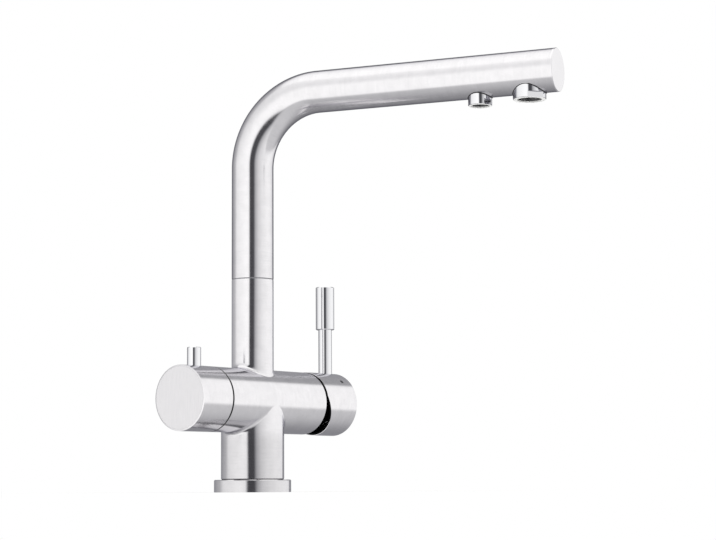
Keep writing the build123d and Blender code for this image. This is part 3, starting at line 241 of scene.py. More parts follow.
def brushed(name, along):
    """Steel brushed round one straight axis: along is 0 for X, 1 for Y and 2 for Z."""
    made, tree, shader = material(name, **BRUSHED)
    place = add(tree, "ShaderNodeTexCoord").outputs["Object"]
    parts = add(tree, "ShaderNodeSeparateXYZ", {"Vector": place}).outputs
    first, second = (n for n in range(3) if n != along)
    turned_place = add(tree, "ShaderNodeCombineXYZ", {
        "X": parts[along], "Y": parts[first], "Z": parts[second]})
    axis = [1.0 if n == along else 0.0 for n in range(3)]
    brush_finish(tree, shader, turned_place, axis_vector(tree, *axis))
    return made


steel_upright = brushed("stainless steel brushed round the column", 2)
steel_barrel = brushed("stainless steel brushed round the barrel", 0)
print("ring pitch", BRUSH_PITCH / MM, "mm")

# %% [markdown]
# The valve body is one casting: its column and riser stand upright and its barrel lies across them. It
# could be cut into pieces with a finish each. One material serves it, because a point further from the
# barrel's axis than the barrel's radius can only be on an upright part. That test picks the direction of
# the rings and of the smear.

# %% Brushed steel on the valve body
BLEND_WIDTH = 0.6 * MM


def barrel_distance(tree, place):
    """How far a point lies from the barrel's axis."""
    from_axis = add(tree, "ShaderNodeVectorMath", {
        0: place, 1: (0, 0, BARREL_HEIGHT)}, operation="SUBTRACT")
    flattened = add(tree, "ShaderNodeVectorMath", {0: from_axis, 1: (0, 1, 1)}, operation="MULTIPLY")
    return add(tree, "ShaderNodeVectorMath", {0: flattened}, operation="LENGTH").outputs["Value"]


body_steel, tree, shader = material("stainless steel brushed round column and barrel", **BRUSHED)
place = add(tree, "ShaderNodeTexCoord").outputs["Object"]
x, y, z = add(tree, "ShaderNodeSeparateXYZ", {"Vector": place}).outputs
blend_zone = (BARREL_RADIUS + BLEND_WIDTH / 4, BARREL_RADIUS + BLEND_WIDTH)
upright = add(tree, "ShaderNodeMapRange", spans(barrel_distance(tree, place), blend_zone), **SMOOTH)
lying = add(tree, "ShaderNodeMath", {0: 1.0, 1: upright}, operation="SUBTRACT")
upright_place = add(tree, "ShaderNodeCombineXYZ", {"X": z, "Y": x, "Z": y})
body_place = add(tree, "ShaderNodeMix", {"Factor": upright, 4: place, 5: upright_place}, data_type="VECTOR")
brush_finish(tree, shader, body_place.outputs[1], axis_vector(tree, lying, 0.0, upright))
print("uprights begin", round(blend_zone[0] / MM, 2), "mm from the barrel's axis")

# %% [markdown]
# The spout is brushed after bending, so its rings follow the bend. The direction along the tube comes from
# two clamped distances to the bend's centre: level ones are cut off past the bend, and upright ones below
# it, and the rest is a quarter turn between them. The photograph shows darker edges on this tube than on
# the body, so its tint at a grazing angle is darker.

# %% Brushed steel on the spout
# No box tells the bend's radius, so it is given here
BEND_RADIUS = 52.2 * MM
BEND_FOOT = SPOUT_HEIGHT - BEND_RADIUS
spout_steel, tree, shader = material("stainless steel brushed round the spout", **BRUSHED)
shader.inputs["Specular Tint"].default_value = srgb("#9C9CA4")
place = add(tree, "ShaderNodeTexCoord").outputs["Object"]
height = add(tree, "ShaderNodeSeparateXYZ", {"Vector": place}).outputs[2]
reach, sideways = (
    add(tree, "ShaderNodeVectorMath", {0: place, 1: tuple(way)}, operation="DOT_PRODUCT").outputs["Value"]
    for way in (SPOUT_WAY, SPOUT_SIDE))
level_gap = add(tree, "ShaderNodeMath", {0: BEND_RADIUS, 1: reach}, operation="SUBTRACT")
level_gap = add(tree, "ShaderNodeMath", {0: level_gap, 1: 0.0}, operation="MAXIMUM")
upright_gap = add(tree, "ShaderNodeMath", {0: height, 1: BEND_FOOT}, operation="SUBTRACT")
upright_gap = add(tree, "ShaderNodeMath", {0: upright_gap, 1: 0.0}, operation="MAXIMUM")
turn = add(tree, "ShaderNodeMath", {0: upright_gap, 1: level_gap}, operation="ARCTAN2")
riser_length = add(tree, "ShaderNodeMath", {0: height, 1: BEND_FOOT}, operation="MINIMUM")
bend_length = add(tree, "ShaderNodeMath", {0: turn, 1: BEND_RADIUS}, operation="MULTIPLY")
arm_length = add(tree, "ShaderNodeMath", {0: reach, 1: BEND_RADIUS}, operation="MAXIMUM")
along_tube = add(tree, "ShaderNodeMath", {0: riser_length, 1: bend_length}, operation="ADD")
along_tube = add(tree, "ShaderNodeMath", {0: along_tube, 1: arm_length}, operation="ADD")
across_tube = add(tree, "ShaderNodeMath", {0: upright_gap, 1: level_gap}, operation="ADD")
tube_place = add(tree, "ShaderNodeCombineXYZ", {"X": along_tube, "Y": sideways, "Z": across_tube})
outward = add(tree, "ShaderNodeMath", {0: turn}, operation="SINE")
upward = add(tree, "ShaderNodeMath", {0: turn}, operation="COSINE")
way_x = add(tree, "ShaderNodeMath", {0: outward, 1: SPOUT_WAY.x}, operation="MULTIPLY")
way_y = add(tree, "ShaderNodeMath", {0: outward, 1: SPOUT_WAY.y}, operation="MULTIPLY")
brush_finish(tree, shader, tube_place, axis_vector(tree, way_x, way_y, upward))
print("bend starts at", round(BEND_FOOT / MM, 1), "mm")

# %% [markdown]
# The flat ends, the knob's face and the spout's cap, are brushed in straight lines. Their grain is the same
# recipe on flat coordinates. The face is made a little darker than the tubes with painted shade, and the cap
# a little paler with painted light. Neither is handled much, so both have a fainter mottle.

# %% Straight-grained steel on the flat faces
# Painted shade darkens the knob's face and painted light brightens the spout's cap
FACE_PAINTED_SHADE = 0.93
CAP_PAINTED_LIGHT = 1.03
FLAT_MOTTLE = (0.99, 1.01)
FLAT_SMEAR = 0.4


def grained(name, grain_axis, across_axis, painted_brightness):
    """Steel with a straight grain, long along grain_axis and fine along across_axis."""
    made, tree, shader = material(name, **{"Metallic": 1.0, "Anisotropic": FLAT_SMEAR})
    place = add(tree, "ShaderNodeTexCoord").outputs["Object"]
    across, along = (
        add(tree, "ShaderNodeVectorMath", {0: place, 1: axis}, operation="DOT_PRODUCT").outputs["Value"]
        for axis in (across_axis, grain_axis))
    flat_place = add(tree, "ShaderNodeCombineXYZ", {"X": across, "Y": along})
    # The painted brightness scales the mottle's range, and so the whole colour of the piece
    mottle_shade = [painted_brightness * shade for shade in FLAT_MOTTLE]
    brush_finish(tree, shader, flat_place, axis_vector(tree, *across_axis), mottle_shade)
    return made


face_steel = grained("stainless steel, straight grain on the knob's face",
                     (0, 0, 1), (0, 1, 0), FACE_PAINTED_SHADE)
cap_steel = grained("stainless steel, straight grain on the spout's end",
                    (0, 0, 1), tuple(SPOUT_SIDE), CAP_PAINTED_LIGHT)
print("grained faces", [steel.name for steel in (face_steel, cap_steel)])

# %% [markdown]
# ## Polished steel
#
# The lever, the knob's pin and the two outlets are polished after turning. A perfect mirror would look too
# clean. Polish leaves faint waves a few millimetres long, and they make the lines in the reflections
# tremble a little.

# %% Polished steel
WAVE_LENGTH = 3 * MM
WAVE_BUMP = 0.05
WAVE_DEPTH = 0.1 * MM
POLISH_ROUGHNESS = (0.05, 0.09)
polished_steel, tree, shader = material("polished stainless steel", **{
    "Base Color": srgb("#EBEBED"), "Metallic": 1.0, "Specular Tint": srgb("#9A9AA0")})
place = add(tree, "ShaderNodeTexCoord").outputs["Object"]
waves = add(tree, "ShaderNodeTexNoise", {
    "Vector": place, "Scale": 1 / WAVE_LENGTH, "Detail": CLOUD_DETAIL}).outputs["Fac"]
fill(tree, shader, {
    "Roughness": add(tree, "ShaderNodeMapRange", spans(waves, RISING, POLISH_ROUGHNESS)),
    "Normal": add(tree, "ShaderNodeBump", {
        "Height": waves, "Strength": WAVE_BUMP, "Distance": WAVE_DEPTH})})
print("polish waves", WAVE_LENGTH / MM, "mm")

# %% [markdown]
# ## Steel with a coat
#
# Some steel pieces here are coated on one side only. The coat could be a second shader, mixed in where it
# lies. One shader with masked values looks the same and is simpler to bake: where the mask is 1, the metal
# is off, and the coat's colour, roughness and shine come in.

# %% One shader for steel and its coat
BARE_SHINE = 0.5


def present(socket):
    """What feeds a socket now: the socket linked to it, or its own value."""
    return socket.links[0].from_socket if socket.is_linked else socket.default_value


def coat(tree, mask, colour, rough, shine=BARE_SHINE):
    """Covers a steel material with a coat that isn't metal, wherever the mask is 1."""
    shader = next(n for n in tree.nodes if n.type == "BSDF_PRINCIPLED")
    bare_colour, bare_rough = present(shader.inputs["Base Color"]), present(shader.inputs["Roughness"])
    fill(tree, shader, {
        "Base Color": add(tree, "ShaderNodeMixRGB", {
            "Fac": mask, "Color1": bare_colour, "Color2": srgb(colour)}),
        "Roughness": add(tree, "ShaderNodeMix", {"Factor": mask, 2: bare_rough, 3: rough}),
        "Metallic": add(tree, "ShaderNodeMath", {0: 1.0, 1: mask}, operation="SUBTRACT"),
        "Specular IOR Level": add(tree, "ShaderNodeMix", {"Factor": mask, 2: BARE_SHINE, 3: shine})})


print("shine of a bare surface", BARE_SHINE)

# %% [markdown]
# The two outlets are polished on the outside only. Just inside the mouth, each bore has a lining of pale
# plastic that guides the water, with a lip under the mouth's rim, and its pale colour is partly painted
# light that shows as a bright rim from below.
# It could be a ring of its own, but it is as thin as paint in the picture, so it is a coat. The distance
# from each outlet's upright axis and the height above its mouth tell the lining from the steel.

# %% Outlets, polished outside and pale inside
outlet_low, outlet_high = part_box("main_outlet_housing")
insert_low, insert_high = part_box("aerator_insert")
jet_low, jet_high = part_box("filter_outlet_insert")
nozzle_low, nozzle_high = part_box("filter_outlet_nozzle")
# The pale lining is partly painted light, a bright rim seen from below
LINING_GAP = 0.25 * MM
LINING_HEIGHT = 0.9 * MM
LIP_HEIGHT = 0.2 * MM
LINING_AND_LIGHT_COLOUR = "#F0F0EE"
LINING_ROUGHNESS = 0.5


def outlet_finish(name, low, high, mouth):
    """Polished steel with a pale lining above the mouth, partly painted light. The box of the insert gives
    the bore.
    """
    made = polished_steel.copy()
    made.name = name
    tree = made.node_tree
    place = add(tree, "ShaderNodeTexCoord").outputs["Object"]
    height = add(tree, "ShaderNodeSeparateXYZ", {"Vector": place}).outputs[2]
    level_place = add(tree, "ShaderNodeVectorMath", {
        0: place, 1: tuple((low + high) / 2)}, operation="SUBTRACT")
    level_place = add(tree, "ShaderNodeVectorMath", {0: level_place, 1: (1, 1, 0)}, operation="MULTIPLY")
    distance = add(tree, "ShaderNodeVectorMath", {0: level_place}, operation="LENGTH").outputs["Value"]
    bore_radius = (high.x - low.x) / 2 + LINING_GAP
    inside = add(tree, "ShaderNodeMath", {0: distance, 1: bore_radius}, operation="LESS_THAN")
    near_mouth = add(tree, "ShaderNodeMath", {0: height, 1: mouth + LINING_HEIGHT}, operation="LESS_THAN")
    lip = add(tree, "ShaderNodeMath", {0: height, 1: mouth + LIP_HEIGHT}, operation="LESS_THAN")
    # Painted light: the lining's mask, inside near the mouth and on the lip
    pale_lining_and_painted_light = add(tree, "ShaderNodeMath", {0: inside, 1: near_mouth}, operation="MULTIPLY")
    pale_lining_and_painted_light = add(tree, "ShaderNodeMath", {0: pale_lining_and_painted_light, 1: lip}, operation="MAXIMUM")
    coat(tree, pale_lining_and_painted_light, LINING_AND_LIGHT_COLOUR, LINING_ROUGHNESS)
    return made


main_outlet_steel = outlet_finish("polished steel with a lined bore, main outlet", insert_low, insert_high,
                                  outlet_low.z)
filter_outlet_steel = outlet_finish("polished steel with a lined bore, filter outlet", jet_low, jet_high,
                                    nozzle_low.z)
print("main outlet's bore", round((insert_high.x - insert_low.x) / MM, 1), "mm wide")

# %% [markdown]
# The mixer's handle is a steel cup with a blackened inside, and the black is partly painted shade, so that
# its slanted gap reads as one black wedge. The blackening covers the bore and the cut rim, and it stops
# short of the closed end. Black chrome or a dark plate would glint. A matt blacking does not, so its shine
# is turned well down.

# %% Handle, blackened inside
# The black inside the handle is a matt blacking and partly painted shade
BLACKING_EDGE = 0.3 * MM
HANDLE_END_WALL = 3.0 * MM
BLACKING_AND_SHADE_COLOUR = "#0C0C0E"
BLACKING_ROUGHNESS = 0.85
MATT_SHINE = 0.1
handle_steel = steel_barrel.copy()
handle_steel.name = "stainless steel brushed round the handle, black inside"
tree = handle_steel.node_tree
place = add(tree, "ShaderNodeTexCoord").outputs["Object"]
along = add(tree, "ShaderNodeSeparateXYZ", {"Vector": place}).outputs[0]
inside = add(tree, "ShaderNodeMath", {
    0: barrel_distance(tree, place), 1: handle_high.y - BLACKING_EDGE}, operation="LESS_THAN")
before_end = add(tree, "ShaderNodeMath", {
    0: along, 1: handle_high.x - HANDLE_END_WALL}, operation="LESS_THAN")
# Painted shade and blacking cover the bore and the cut rim
blacking_and_painted_shade = add(tree, "ShaderNodeMath", {0: inside, 1: before_end}, operation="MULTIPLY")
coat(tree, blacking_and_painted_shade, BLACKING_AND_SHADE_COLOUR, BLACKING_ROUGHNESS, MATT_SHINE)
print("handle radius", round(handle_high.y / MM, 2), "mm")

# %% [markdown]
# ## The finishes inside and below
#
# Brass is turned and milled bare, so it shows tool marks. Plastics are moulded: the surface is even, with a
# fine erosion grain. Rubber is duller and darker. Alumina ceramic is lapped smooth and a little warm. Each
# could be a tree of its own. They share one recipe, a grain of a real size that moves colour, roughness and
# bump, and only the numbers differ.

# %% Grained solids
GRAIN_BUMP = 0.25


def grain_material(name, light, dark, grain, rough, depth, **sockets):
    """A fine grain of a real size, between two hex colours and a low and a high roughness."""
    made, tree, shader = material(name, **sockets)
    place = add(tree, "ShaderNodeTexCoord").outputs["Object"]
    noise = add(tree, "ShaderNodeTexNoise", {
        "Vector": place, "Scale": 1 / grain, "Detail": GRAIN_DETAIL}).outputs["Fac"]
    fill(tree, shader, {
        "Base Color": add(tree, "ShaderNodeMixRGB", {
            "Fac": noise, "Color1": srgb(dark), "Color2": srgb(light)}),
        "Roughness": add(tree, "ShaderNodeMapRange", spans(noise, RISING, rough)),
        "Normal": add(tree, "ShaderNodeBump", {
            "Height": noise, "Strength": GRAIN_BUMP, "Distance": depth})})
    return made


METAL = {"Metallic": 1.0}
MATT = {"Specular IOR Level": MATT_SHINE}
# Name, light and dark colour, grain's size, low and high roughness, and the bump's depth
brass = grain_material(
    "machined brass", "#D8B872", "#C29D57", 0.8 * MM, (0.22, 0.36), 0.02 * MM, **METAL)
zinc = grain_material(
    "zinc-plated steel", "#C3C4C6", "#A9ABAF", 0.6 * MM, (0.28, 0.42), 0.01 * MM, **METAL)
black_plastic = grain_material(
    "moulded black plastic", "#17171A", "#0D0D0F", 0.4 * MM, (0.42, 0.6), 0.02 * MM)
white_plastic = grain_material(
    "moulded white plastic", "#ECECE8", "#DEDED9", 0.5 * MM, (0.35, 0.5), 0.02 * MM)
grey_plastic = grain_material(
    "moulded pale grey plastic", "#D3D3CF", "#C2C2BE", 0.5 * MM, (0.4, 0.55), 0.02 * MM)
ceramic = grain_material(
    "lapped alumina ceramic", "#F0EDE6", "#E6E1D8", 0.3 * MM, (0.12, 0.2), 0.005 * MM)
rubber = grain_material(
    "moulded rubber", "#1E1E1F", "#121213", 0.3 * MM, (0.6, 0.8), 0.02 * MM)
slip_grey = grain_material(
    "moulded grey slip ring", "#A6A6AB", "#97979C", 0.4 * MM, (0.4, 0.5), 0.02 * MM)
dark_plug = grain_material(
    "glossy dark plug", "#2A2A2E", "#1B1B1F", 0.3 * MM, (0.2, 0.3), 0.005 * MM)
cover_black = grain_material(
    "matt black acetal", "#0C0C0E", "#080809", 0.4 * MM, (0.75, 0.85), 0.002 * MM, **MATT)
print("materials so far", len(bpy.data.materials))

# %% [markdown]
# ## Finishes on the model's own nodes
#
# Most pieces keep the model's own meshes, which have the right shape already. Each takes the finish of its
# material slot, unless it shows so much that a finish was made for it alone.

# %% Dress the nodes
slot_finish = {
    "brushed_steel": steel_upright, "polished_steel": polished_steel, "machined_brass": brass,
    "zinc_screw": zinc, "black_plastic": black_plastic, "white_plastic": white_plastic,
    "cartridge_plastic": grey_plastic, "ceramic": ceramic, "seal_rubber": rubber, "dark_plug": dark_plug,
}
own_finish = {
    "valve_body": body_steel, "spout_tube": spout_steel, "spout_end_cap": cap_steel,
    "knob_shell": steel_barrel, "knob_face_cap": face_steel, "handle_shell": handle_steel,
    "cartridge_cover": cover_black, "slip_ring": slip_grey,
    "main_outlet_housing": main_outlet_steel, "filter_outlet_nozzle": filter_outlet_steel,
}
for part in frame["record"]["subparts"]:
    data = nodes[part["node"]].data
    data.materials.clear()
    data.materials.append(own_finish.get(part["node"], slot_finish[part["material_slot"]]))

# %% [markdown]
# ## Pieces that follow a path
#
# The spout's tube and the seals round the outlets are all a round section led along a line. Such a shape
# could be swept by hand in mesh code. A Geometry Nodes tree keeps the rule instead of its result: change a
# size, and the line and the sweep follow. Each tree gets named inputs for its sizes, and its result is kept
# as a plain mesh.

# %% Trees with named sizes
def new_tree(name, sizes):
    """An empty Geometry Nodes tree with a number input for each size and one for the finish."""
    tree = bpy.data.node_groups.new(name, "GeometryNodeTree")
    for size in sizes:
        tree.interface.new_socket(size, in_out="INPUT", socket_type="NodeSocketFloat")
    tree.interface.new_socket("Finish", in_out="INPUT", socket_type="NodeSocketMaterial")
    tree.interface.new_socket("Geometry", in_out="OUTPUT", socket_type="NodeSocketGeometry")
    return tree, add(tree, "NodeGroupInput").outputs


def sweep(tree, line, radius, sides, finish):
    """Leads a round section along a line and ends the tree."""
    section = add(tree, "GeometryNodeCurvePrimitiveCircle", {"Resolution": sides, "Radius": radius})
    skin = add(tree, "GeometryNodeCurveToMesh", {"Curve": line, "Profile Curve": section})
    smooth = add(tree, "GeometryNodeSetShadeSmooth", {"Geometry": skin})
    whole = add(tree, "GeometryNodeRealizeInstances", {"Geometry": smooth})
    dressed = add(tree, "GeometryNodeSetMaterial", {"Geometry": whole, "Material": finish})
    add(tree, "NodeGroupOutput", {"Geometry": dressed})


def grow(name, tree, values):
    """Runs a tree with these values on a new piece, and keeps the result as its plain mesh."""
    piece = bpy.data.objects.new(name, bpy.data.meshes.new(name))
    scene.collection.objects.link(piece)
    modifier = piece.modifiers.new("grow", "NODES")
    modifier.node_group = tree
    for item in tree.interface.items_tree:
        if item.in_out == "INPUT":
            modifier[item.identifier] = values[item.name]
    grown = bpy.data.meshes.new_from_object(piece.evaluated_get(bpy.context.evaluated_depsgraph_get()))
    piece.modifiers.remove(modifier)
    piece.data = grown
    grown.name = name
    return piece


print("sweep helpers", [helper.__name__ for helper in (new_tree, sweep, grow)])

# %% [markdown]
# The real spout is one length of steel tube, drawn round a former, so its line is a riser, a quarter circle
# and an arm. Every point of a straight line finds its place on that path from how far along it lies: the
# riser takes the first stretch, the angle grows over the next, and the arm takes the rest.

# %% The spout's path
TUBE_STEPS = 200
TUBE_SIDES = 80
tube_tree, sizes = new_tree("bent tube", (
    "Foot", "Height", "Bend radius", "Reach", "Way X", "Way Y", "Tube radius"))
tree, bend = tube_tree, sizes["Bend radius"]
bend_start = add(tree, "ShaderNodeMath", {0: sizes["Height"], 1: bend}, operation="SUBTRACT")
rise = add(tree, "ShaderNodeMath", {0: bend_start, 1: sizes["Foot"]}, operation="SUBTRACT")
quarter = add(tree, "ShaderNodeMath", {0: bend, 1: math.pi / 2}, operation="MULTIPLY")
arm = add(tree, "ShaderNodeMath", {0: sizes["Reach"], 1: bend}, operation="SUBTRACT")
whole_length = add(tree, "ShaderNodeMath", {0: rise, 1: quarter}, operation="ADD")
whole_length = add(tree, "ShaderNodeMath", {0: whole_length, 1: arm}, operation="ADD")

blank = add(tree, "GeometryNodeCurvePrimitiveLine")
blank = add(tree, "GeometryNodeResampleCurve", {"Curve": blank, "Count": TUBE_STEPS})
along = add(tree, "GeometryNodeSplineParameter").outputs["Factor"]
length = add(tree, "ShaderNodeMath", {0: along, 1: whole_length}, operation="MULTIPLY")
risen = add(tree, "ShaderNodeMath", {0: length, 1: rise}, operation="MINIMUM")
past_riser = add(tree, "ShaderNodeMath", {0: length, 1: risen}, operation="SUBTRACT")
bent = add(tree, "ShaderNodeMath", {0: past_riser, 1: quarter}, operation="MINIMUM")
past_bend = add(tree, "ShaderNodeMath", {0: past_riser, 1: bent}, operation="SUBTRACT")

angle = add(tree, "ShaderNodeMath", {0: bent, 1: bend}, operation="DIVIDE")
cosine = add(tree, "ShaderNodeMath", {0: angle}, operation="COSINE")
outward = add(tree, "ShaderNodeMath", {0: 1.0, 1: cosine}, operation="SUBTRACT")
outward = add(tree, "ShaderNodeMath", {0: outward, 1: bend, 2: past_bend}, operation="MULTIPLY_ADD")
upward = add(tree, "ShaderNodeMath", {0: angle}, operation="SINE")
upward = add(tree, "ShaderNodeMath", {0: upward, 1: bend, 2: risen}, operation="MULTIPLY_ADD")
spot = add(tree, "ShaderNodeCombineXYZ", {
    "X": add(tree, "ShaderNodeMath", {0: outward, 1: sizes["Way X"]}, operation="MULTIPLY"),
    "Y": add(tree, "ShaderNodeMath", {0: outward, 1: sizes["Way Y"]}, operation="MULTIPLY"),
    "Z": add(tree, "ShaderNodeMath", {0: upward, 1: sizes["Foot"]}, operation="ADD")})
path = add(tree, "GeometryNodeSetPosition", {"Geometry": blank, "Position": spot})
sweep(tree, path, sizes["Tube radius"], TUBE_SIDES, sizes["Finish"])
print("path points", TUBE_STEPS)

# %% [markdown]
# The sweep gives the tube's skin. Solidify gives it the wall of the real tube, inwards, and Bevel breaks
# the two sawn rims. The tube ends where the model's own tube ends, which its box tells.

# %% The spout tube
TUBE_WALL = 1.2 * MM
RIM_BREAK = 0.25 * MM
RIM_STEPS = 2
INWARDS = -1.0
TUBE_REACH = -(tube_low.y + TUBE_RADIUS * abs(SPOUT_SIDE.y)) / abs(SPOUT_WAY.y)
tube = grow("spout_tube_bent", tube_tree, {
    "Foot": TUBE_START, "Height": SPOUT_HEIGHT, "Bend radius": BEND_RADIUS, "Reach": TUBE_REACH,
    "Way X": SPOUT_WAY.x, "Way Y": SPOUT_WAY.y, "Tube radius": TUBE_RADIUS, "Finish": spout_steel})
first = tube.data.polygons[0]
if first.normal.dot(Vector((first.center.x, first.center.y, 0))) < 0:
    tube.data.flip_normals()
wall = tube.modifiers.new("wall", "SOLIDIFY")
wall.thickness, wall.offset = TUBE_WALL, INWARDS
rims = tube.modifiers.new("rims", "BEVEL")
rims.width, rims.segments, rims.limit_method = RIM_BREAK, RIM_STEPS, "ANGLE"
rims.harden_normals = True
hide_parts("spout_tube")
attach(tube, "spout")
print("tube reach", round(TUBE_REACH / MM, 1), "mm, skin faces", len(tube.data.polygons))

# %% [markdown]
# Each outlet passes through a hole in the arm, and a rubber ring closes the gap round it. The ring's dark
# rubber also serves as painted shade: it is the fine dark line of shade where the outlet meets the arm. Its
# line is a circle dropped onto the arm's underside: the further a point lies to the side, the higher the
# round arm's skin is there.

# %% The seals' line on the arm
SEAL_STEPS = 96
SEAL_SIDES = 12
seal_tree, sizes = new_tree("seal on the arm", (
    "Outlet reach", "Outlet radius", "Height", "Tube radius", "Way X", "Way Y", "Seal radius"))
tree, way_x, way_y = seal_tree, sizes["Way X"], sizes["Way Y"]
loop = add(tree, "GeometryNodeCurvePrimitiveCircle", {
    "Resolution": SEAL_STEPS, "Radius": sizes["Outlet radius"]})
place = add(tree, "GeometryNodeInputPosition")
forward, sideways, _ = add(tree, "ShaderNodeSeparateXYZ", {"Vector": place}).outputs
reach = add(tree, "ShaderNodeMath", {0: forward, 1: sizes["Outlet reach"]}, operation="ADD")
radius_squared = add(tree, "ShaderNodeMath", {0: sizes["Tube radius"], 1: 2.0}, operation="POWER")
sideways_squared = add(tree, "ShaderNodeMath", {0: sideways, 1: sideways}, operation="MULTIPLY")
drop = add(tree, "ShaderNodeMath", {0: radius_squared, 1: sideways_squared}, operation="SUBTRACT")
drop = add(tree, "ShaderNodeMath", {0: drop}, operation="SQRT")
reach_x = add(tree, "ShaderNodeMath", {0: reach, 1: way_x}, operation="MULTIPLY")
reach_y = add(tree, "ShaderNodeMath", {0: reach, 1: way_y}, operation="MULTIPLY")
side_x = add(tree, "ShaderNodeMath", {0: sideways, 1: way_y}, operation="MULTIPLY")
side_y = add(tree, "ShaderNodeMath", {0: sideways, 1: way_x}, operation="MULTIPLY")
spot = add(tree, "ShaderNodeCombineXYZ", {
    "X": add(tree, "ShaderNodeMath", {0: reach_x, 1: side_x}, operation="SUBTRACT"),
    "Y": add(tree, "ShaderNodeMath", {0: reach_y, 1: side_y}, operation="ADD"),
    "Z": add(tree, "ShaderNodeMath", {0: sizes["Height"], 1: drop}, operation="SUBTRACT")})
loop = add(tree, "GeometryNodeSetPosition", {"Geometry": loop, "Position": spot})
sweep(tree, loop, sizes["Seal radius"], SEAL_SIDES, sizes["Finish"])
print("seal points", SEAL_STEPS)

# %% [markdown]
# Both seals come from that one tree. Only the place and the width of their outlet differ, and the boxes of
# the model's own pieces tell both.

# %% Seals round the outlets
SEAL_RADIUS = 0.5 * MM
# Each seal is a rubber ring whose dark colour is also painted shade at the outlet's joint
seals = (("main_outlet_seal_and_shade", insert_low, insert_high, outlet_low, outlet_high),
         ("filter_outlet_seal_and_shade", jet_low, jet_high, nozzle_low, nozzle_high))
for name, low, high, outer_low, outer_high in seals:
    middle = (low + high) / 2
    seal = grow(name, seal_tree, {
        "Outlet reach": middle.dot(SPOUT_WAY), "Outlet radius": (outer_high.x - outer_low.x) / 2,
        "Height": SPOUT_HEIGHT, "Tube radius": TUBE_RADIUS, "Way X": SPOUT_WAY.x, "Way Y": SPOUT_WAY.y,
        "Seal radius": SEAL_RADIUS, "Finish": rubber})
    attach(seal, "spout")
    print(name, "faces", len(seal.data.polygons))

# %% [markdown]
# ## The studio
#
# Metal has no colour of its own to speak of: it shows what stands around it. The photograph's tap stands
# between two large white screens, with a dark gap where the camera looks through and a grey room behind.
# Real screens could be built round the tap. The world is painted that way instead, which every curved piece
# mirrors at any distance: first a ramp round the compass, which a vertical tube shows from left to right.

# %% Screens round the compass
# Compass bearings in degrees, anticlockwise from +X, with how bright the studio is there
STUDIO = ((0, 1.12), (40, 0.32), (75, 0.46), (106, 0.62), (122, 1.0), (140, 1.08), (165, 1.16),
          (185, 1.22), (199, 1.16), (206.5, 0.075), (226, 0.08), (236, 0.5), (252, 0.8), (276, 1.0),
          (310, 1.12), (359, 1.14))
FULL_TURN = 360
world = bpy.data.worlds.new("studio")
scene.world = world
world.use_nodes = True
tree = world.node_tree
tree.nodes.clear()
direction = add(tree, "ShaderNodeTexCoord").outputs["Generated"]
across, away, aloft = add(tree, "ShaderNodeSeparateXYZ", {"Vector": direction}).outputs
bearing = add(tree, "ShaderNodeMath", {0: away, 1: across}, operation="ARCTAN2")
round_once = add(tree, "ShaderNodeMath", {0: bearing, 1: 2 * math.pi}, operation="DIVIDE")
round_once = add(tree, "ShaderNodeMath", {0: round_once}, operation="FRACT")
compass = add(tree, "ShaderNodeValToRGB", {"Fac": round_once})
ramp = compass.color_ramp.elements
while len(ramp) > 1:
    ramp.remove(ramp[-1])
for n, (degrees, level) in enumerate(STUDIO):
    stop = ramp[0] if n == 0 else ramp.new(degrees / FULL_TURN)
    stop.position = degrees / FULL_TURN
    stop.color = (level, level, level, 1)
walls = add(tree, "ShaderNodeSeparateColor", {"Color": compass})
print("studio stops", len(STUDIO))

# %% [markdown]
# The room behind the tap is grey up to the ceiling, and the right screen's edge leans over it. Low down the
# right screen stops a little sooner, and that gap is the thin dark line along the right edge of each
# upright tube. Every border is a smooth step, because the steel's own blur would soften a hard one anyway.

# %% The room behind
SCREEN_LEAN = 0.8
ROOM_EDGE = (0.16, 0.34)
ROOM_GREY = 0.4
LEFT_SCREEN = (math.radians(40), math.radians(46))
GAP_EDGE = (-0.06, 0.06)
GAP_TOP = (0.2, 0.3)
not_left = add(tree, "ShaderNodeMapRange", spans(bearing, LEFT_SCREEN, FALLING), **SMOOTH)
leaning = add(tree, "ShaderNodeMath", {0: aloft, 1: SCREEN_LEAN, 2: bearing}, operation="MULTIPLY_ADD")
behind = add(tree, "ShaderNodeMapRange", spans(leaning, ROOM_EDGE, RISING), **SMOOTH)
gap_beside = add(tree, "ShaderNodeMapRange", spans(bearing, GAP_EDGE, RISING), **SMOOTH)
gap_low = add(tree, "ShaderNodeMapRange", spans(aloft, GAP_TOP, FALLING), **SMOOTH)
gap = add(tree, "ShaderNodeMath", {0: gap_beside, 1: gap_low}, operation="MULTIPLY")
behind = add(tree, "ShaderNodeMath", {0: behind, 1: gap}, operation="MAXIMUM")
behind = add(tree, "ShaderNodeMath", {0: behind, 1: not_left}, operation="MULTIPLY")
level = add(tree, "ShaderNodeMix", {"Factor": behind, 2: walls, 3: ROOM_GREY})
print("room grey", ROOM_GREY)

# %% [markdown]
# Above everything hangs a white ceiling, and it meets the left screen in a soft grey joint. Below lies the
# table: the left screen runs down into it in a wide sweep, and elsewhere it begins just under the horizon
# and darkens towards the back.

# %% Ceiling and table
CEILING = (0.7, 0.8)
CEILING_WHITE = 1.26
JOINT_FOOT, JOINT_MIDDLE, JOINT_TOP = 0.12, 0.48, 0.88
JOINT_SIDE = (-0.2, -0.5)
JOINT_SHADE = 0.84
TABLE_SIDES = (-0.3, 0.3)
TABLE_TOP = (-0.62, -0.14)
TABLE_DEPTH = 0.14
TOWARDS_BACK = (0.4, 0.92, 0)
TABLE_SPAN = (-0.3, 0.6)
TABLE_GREY = (0.68, 0.33)
ceiling = add(tree, "ShaderNodeMapRange", spans(aloft, CEILING), **SMOOTH)
level = add(tree, "ShaderNodeMix", {"Factor": ceiling, 2: level, 3: CEILING_WHITE})

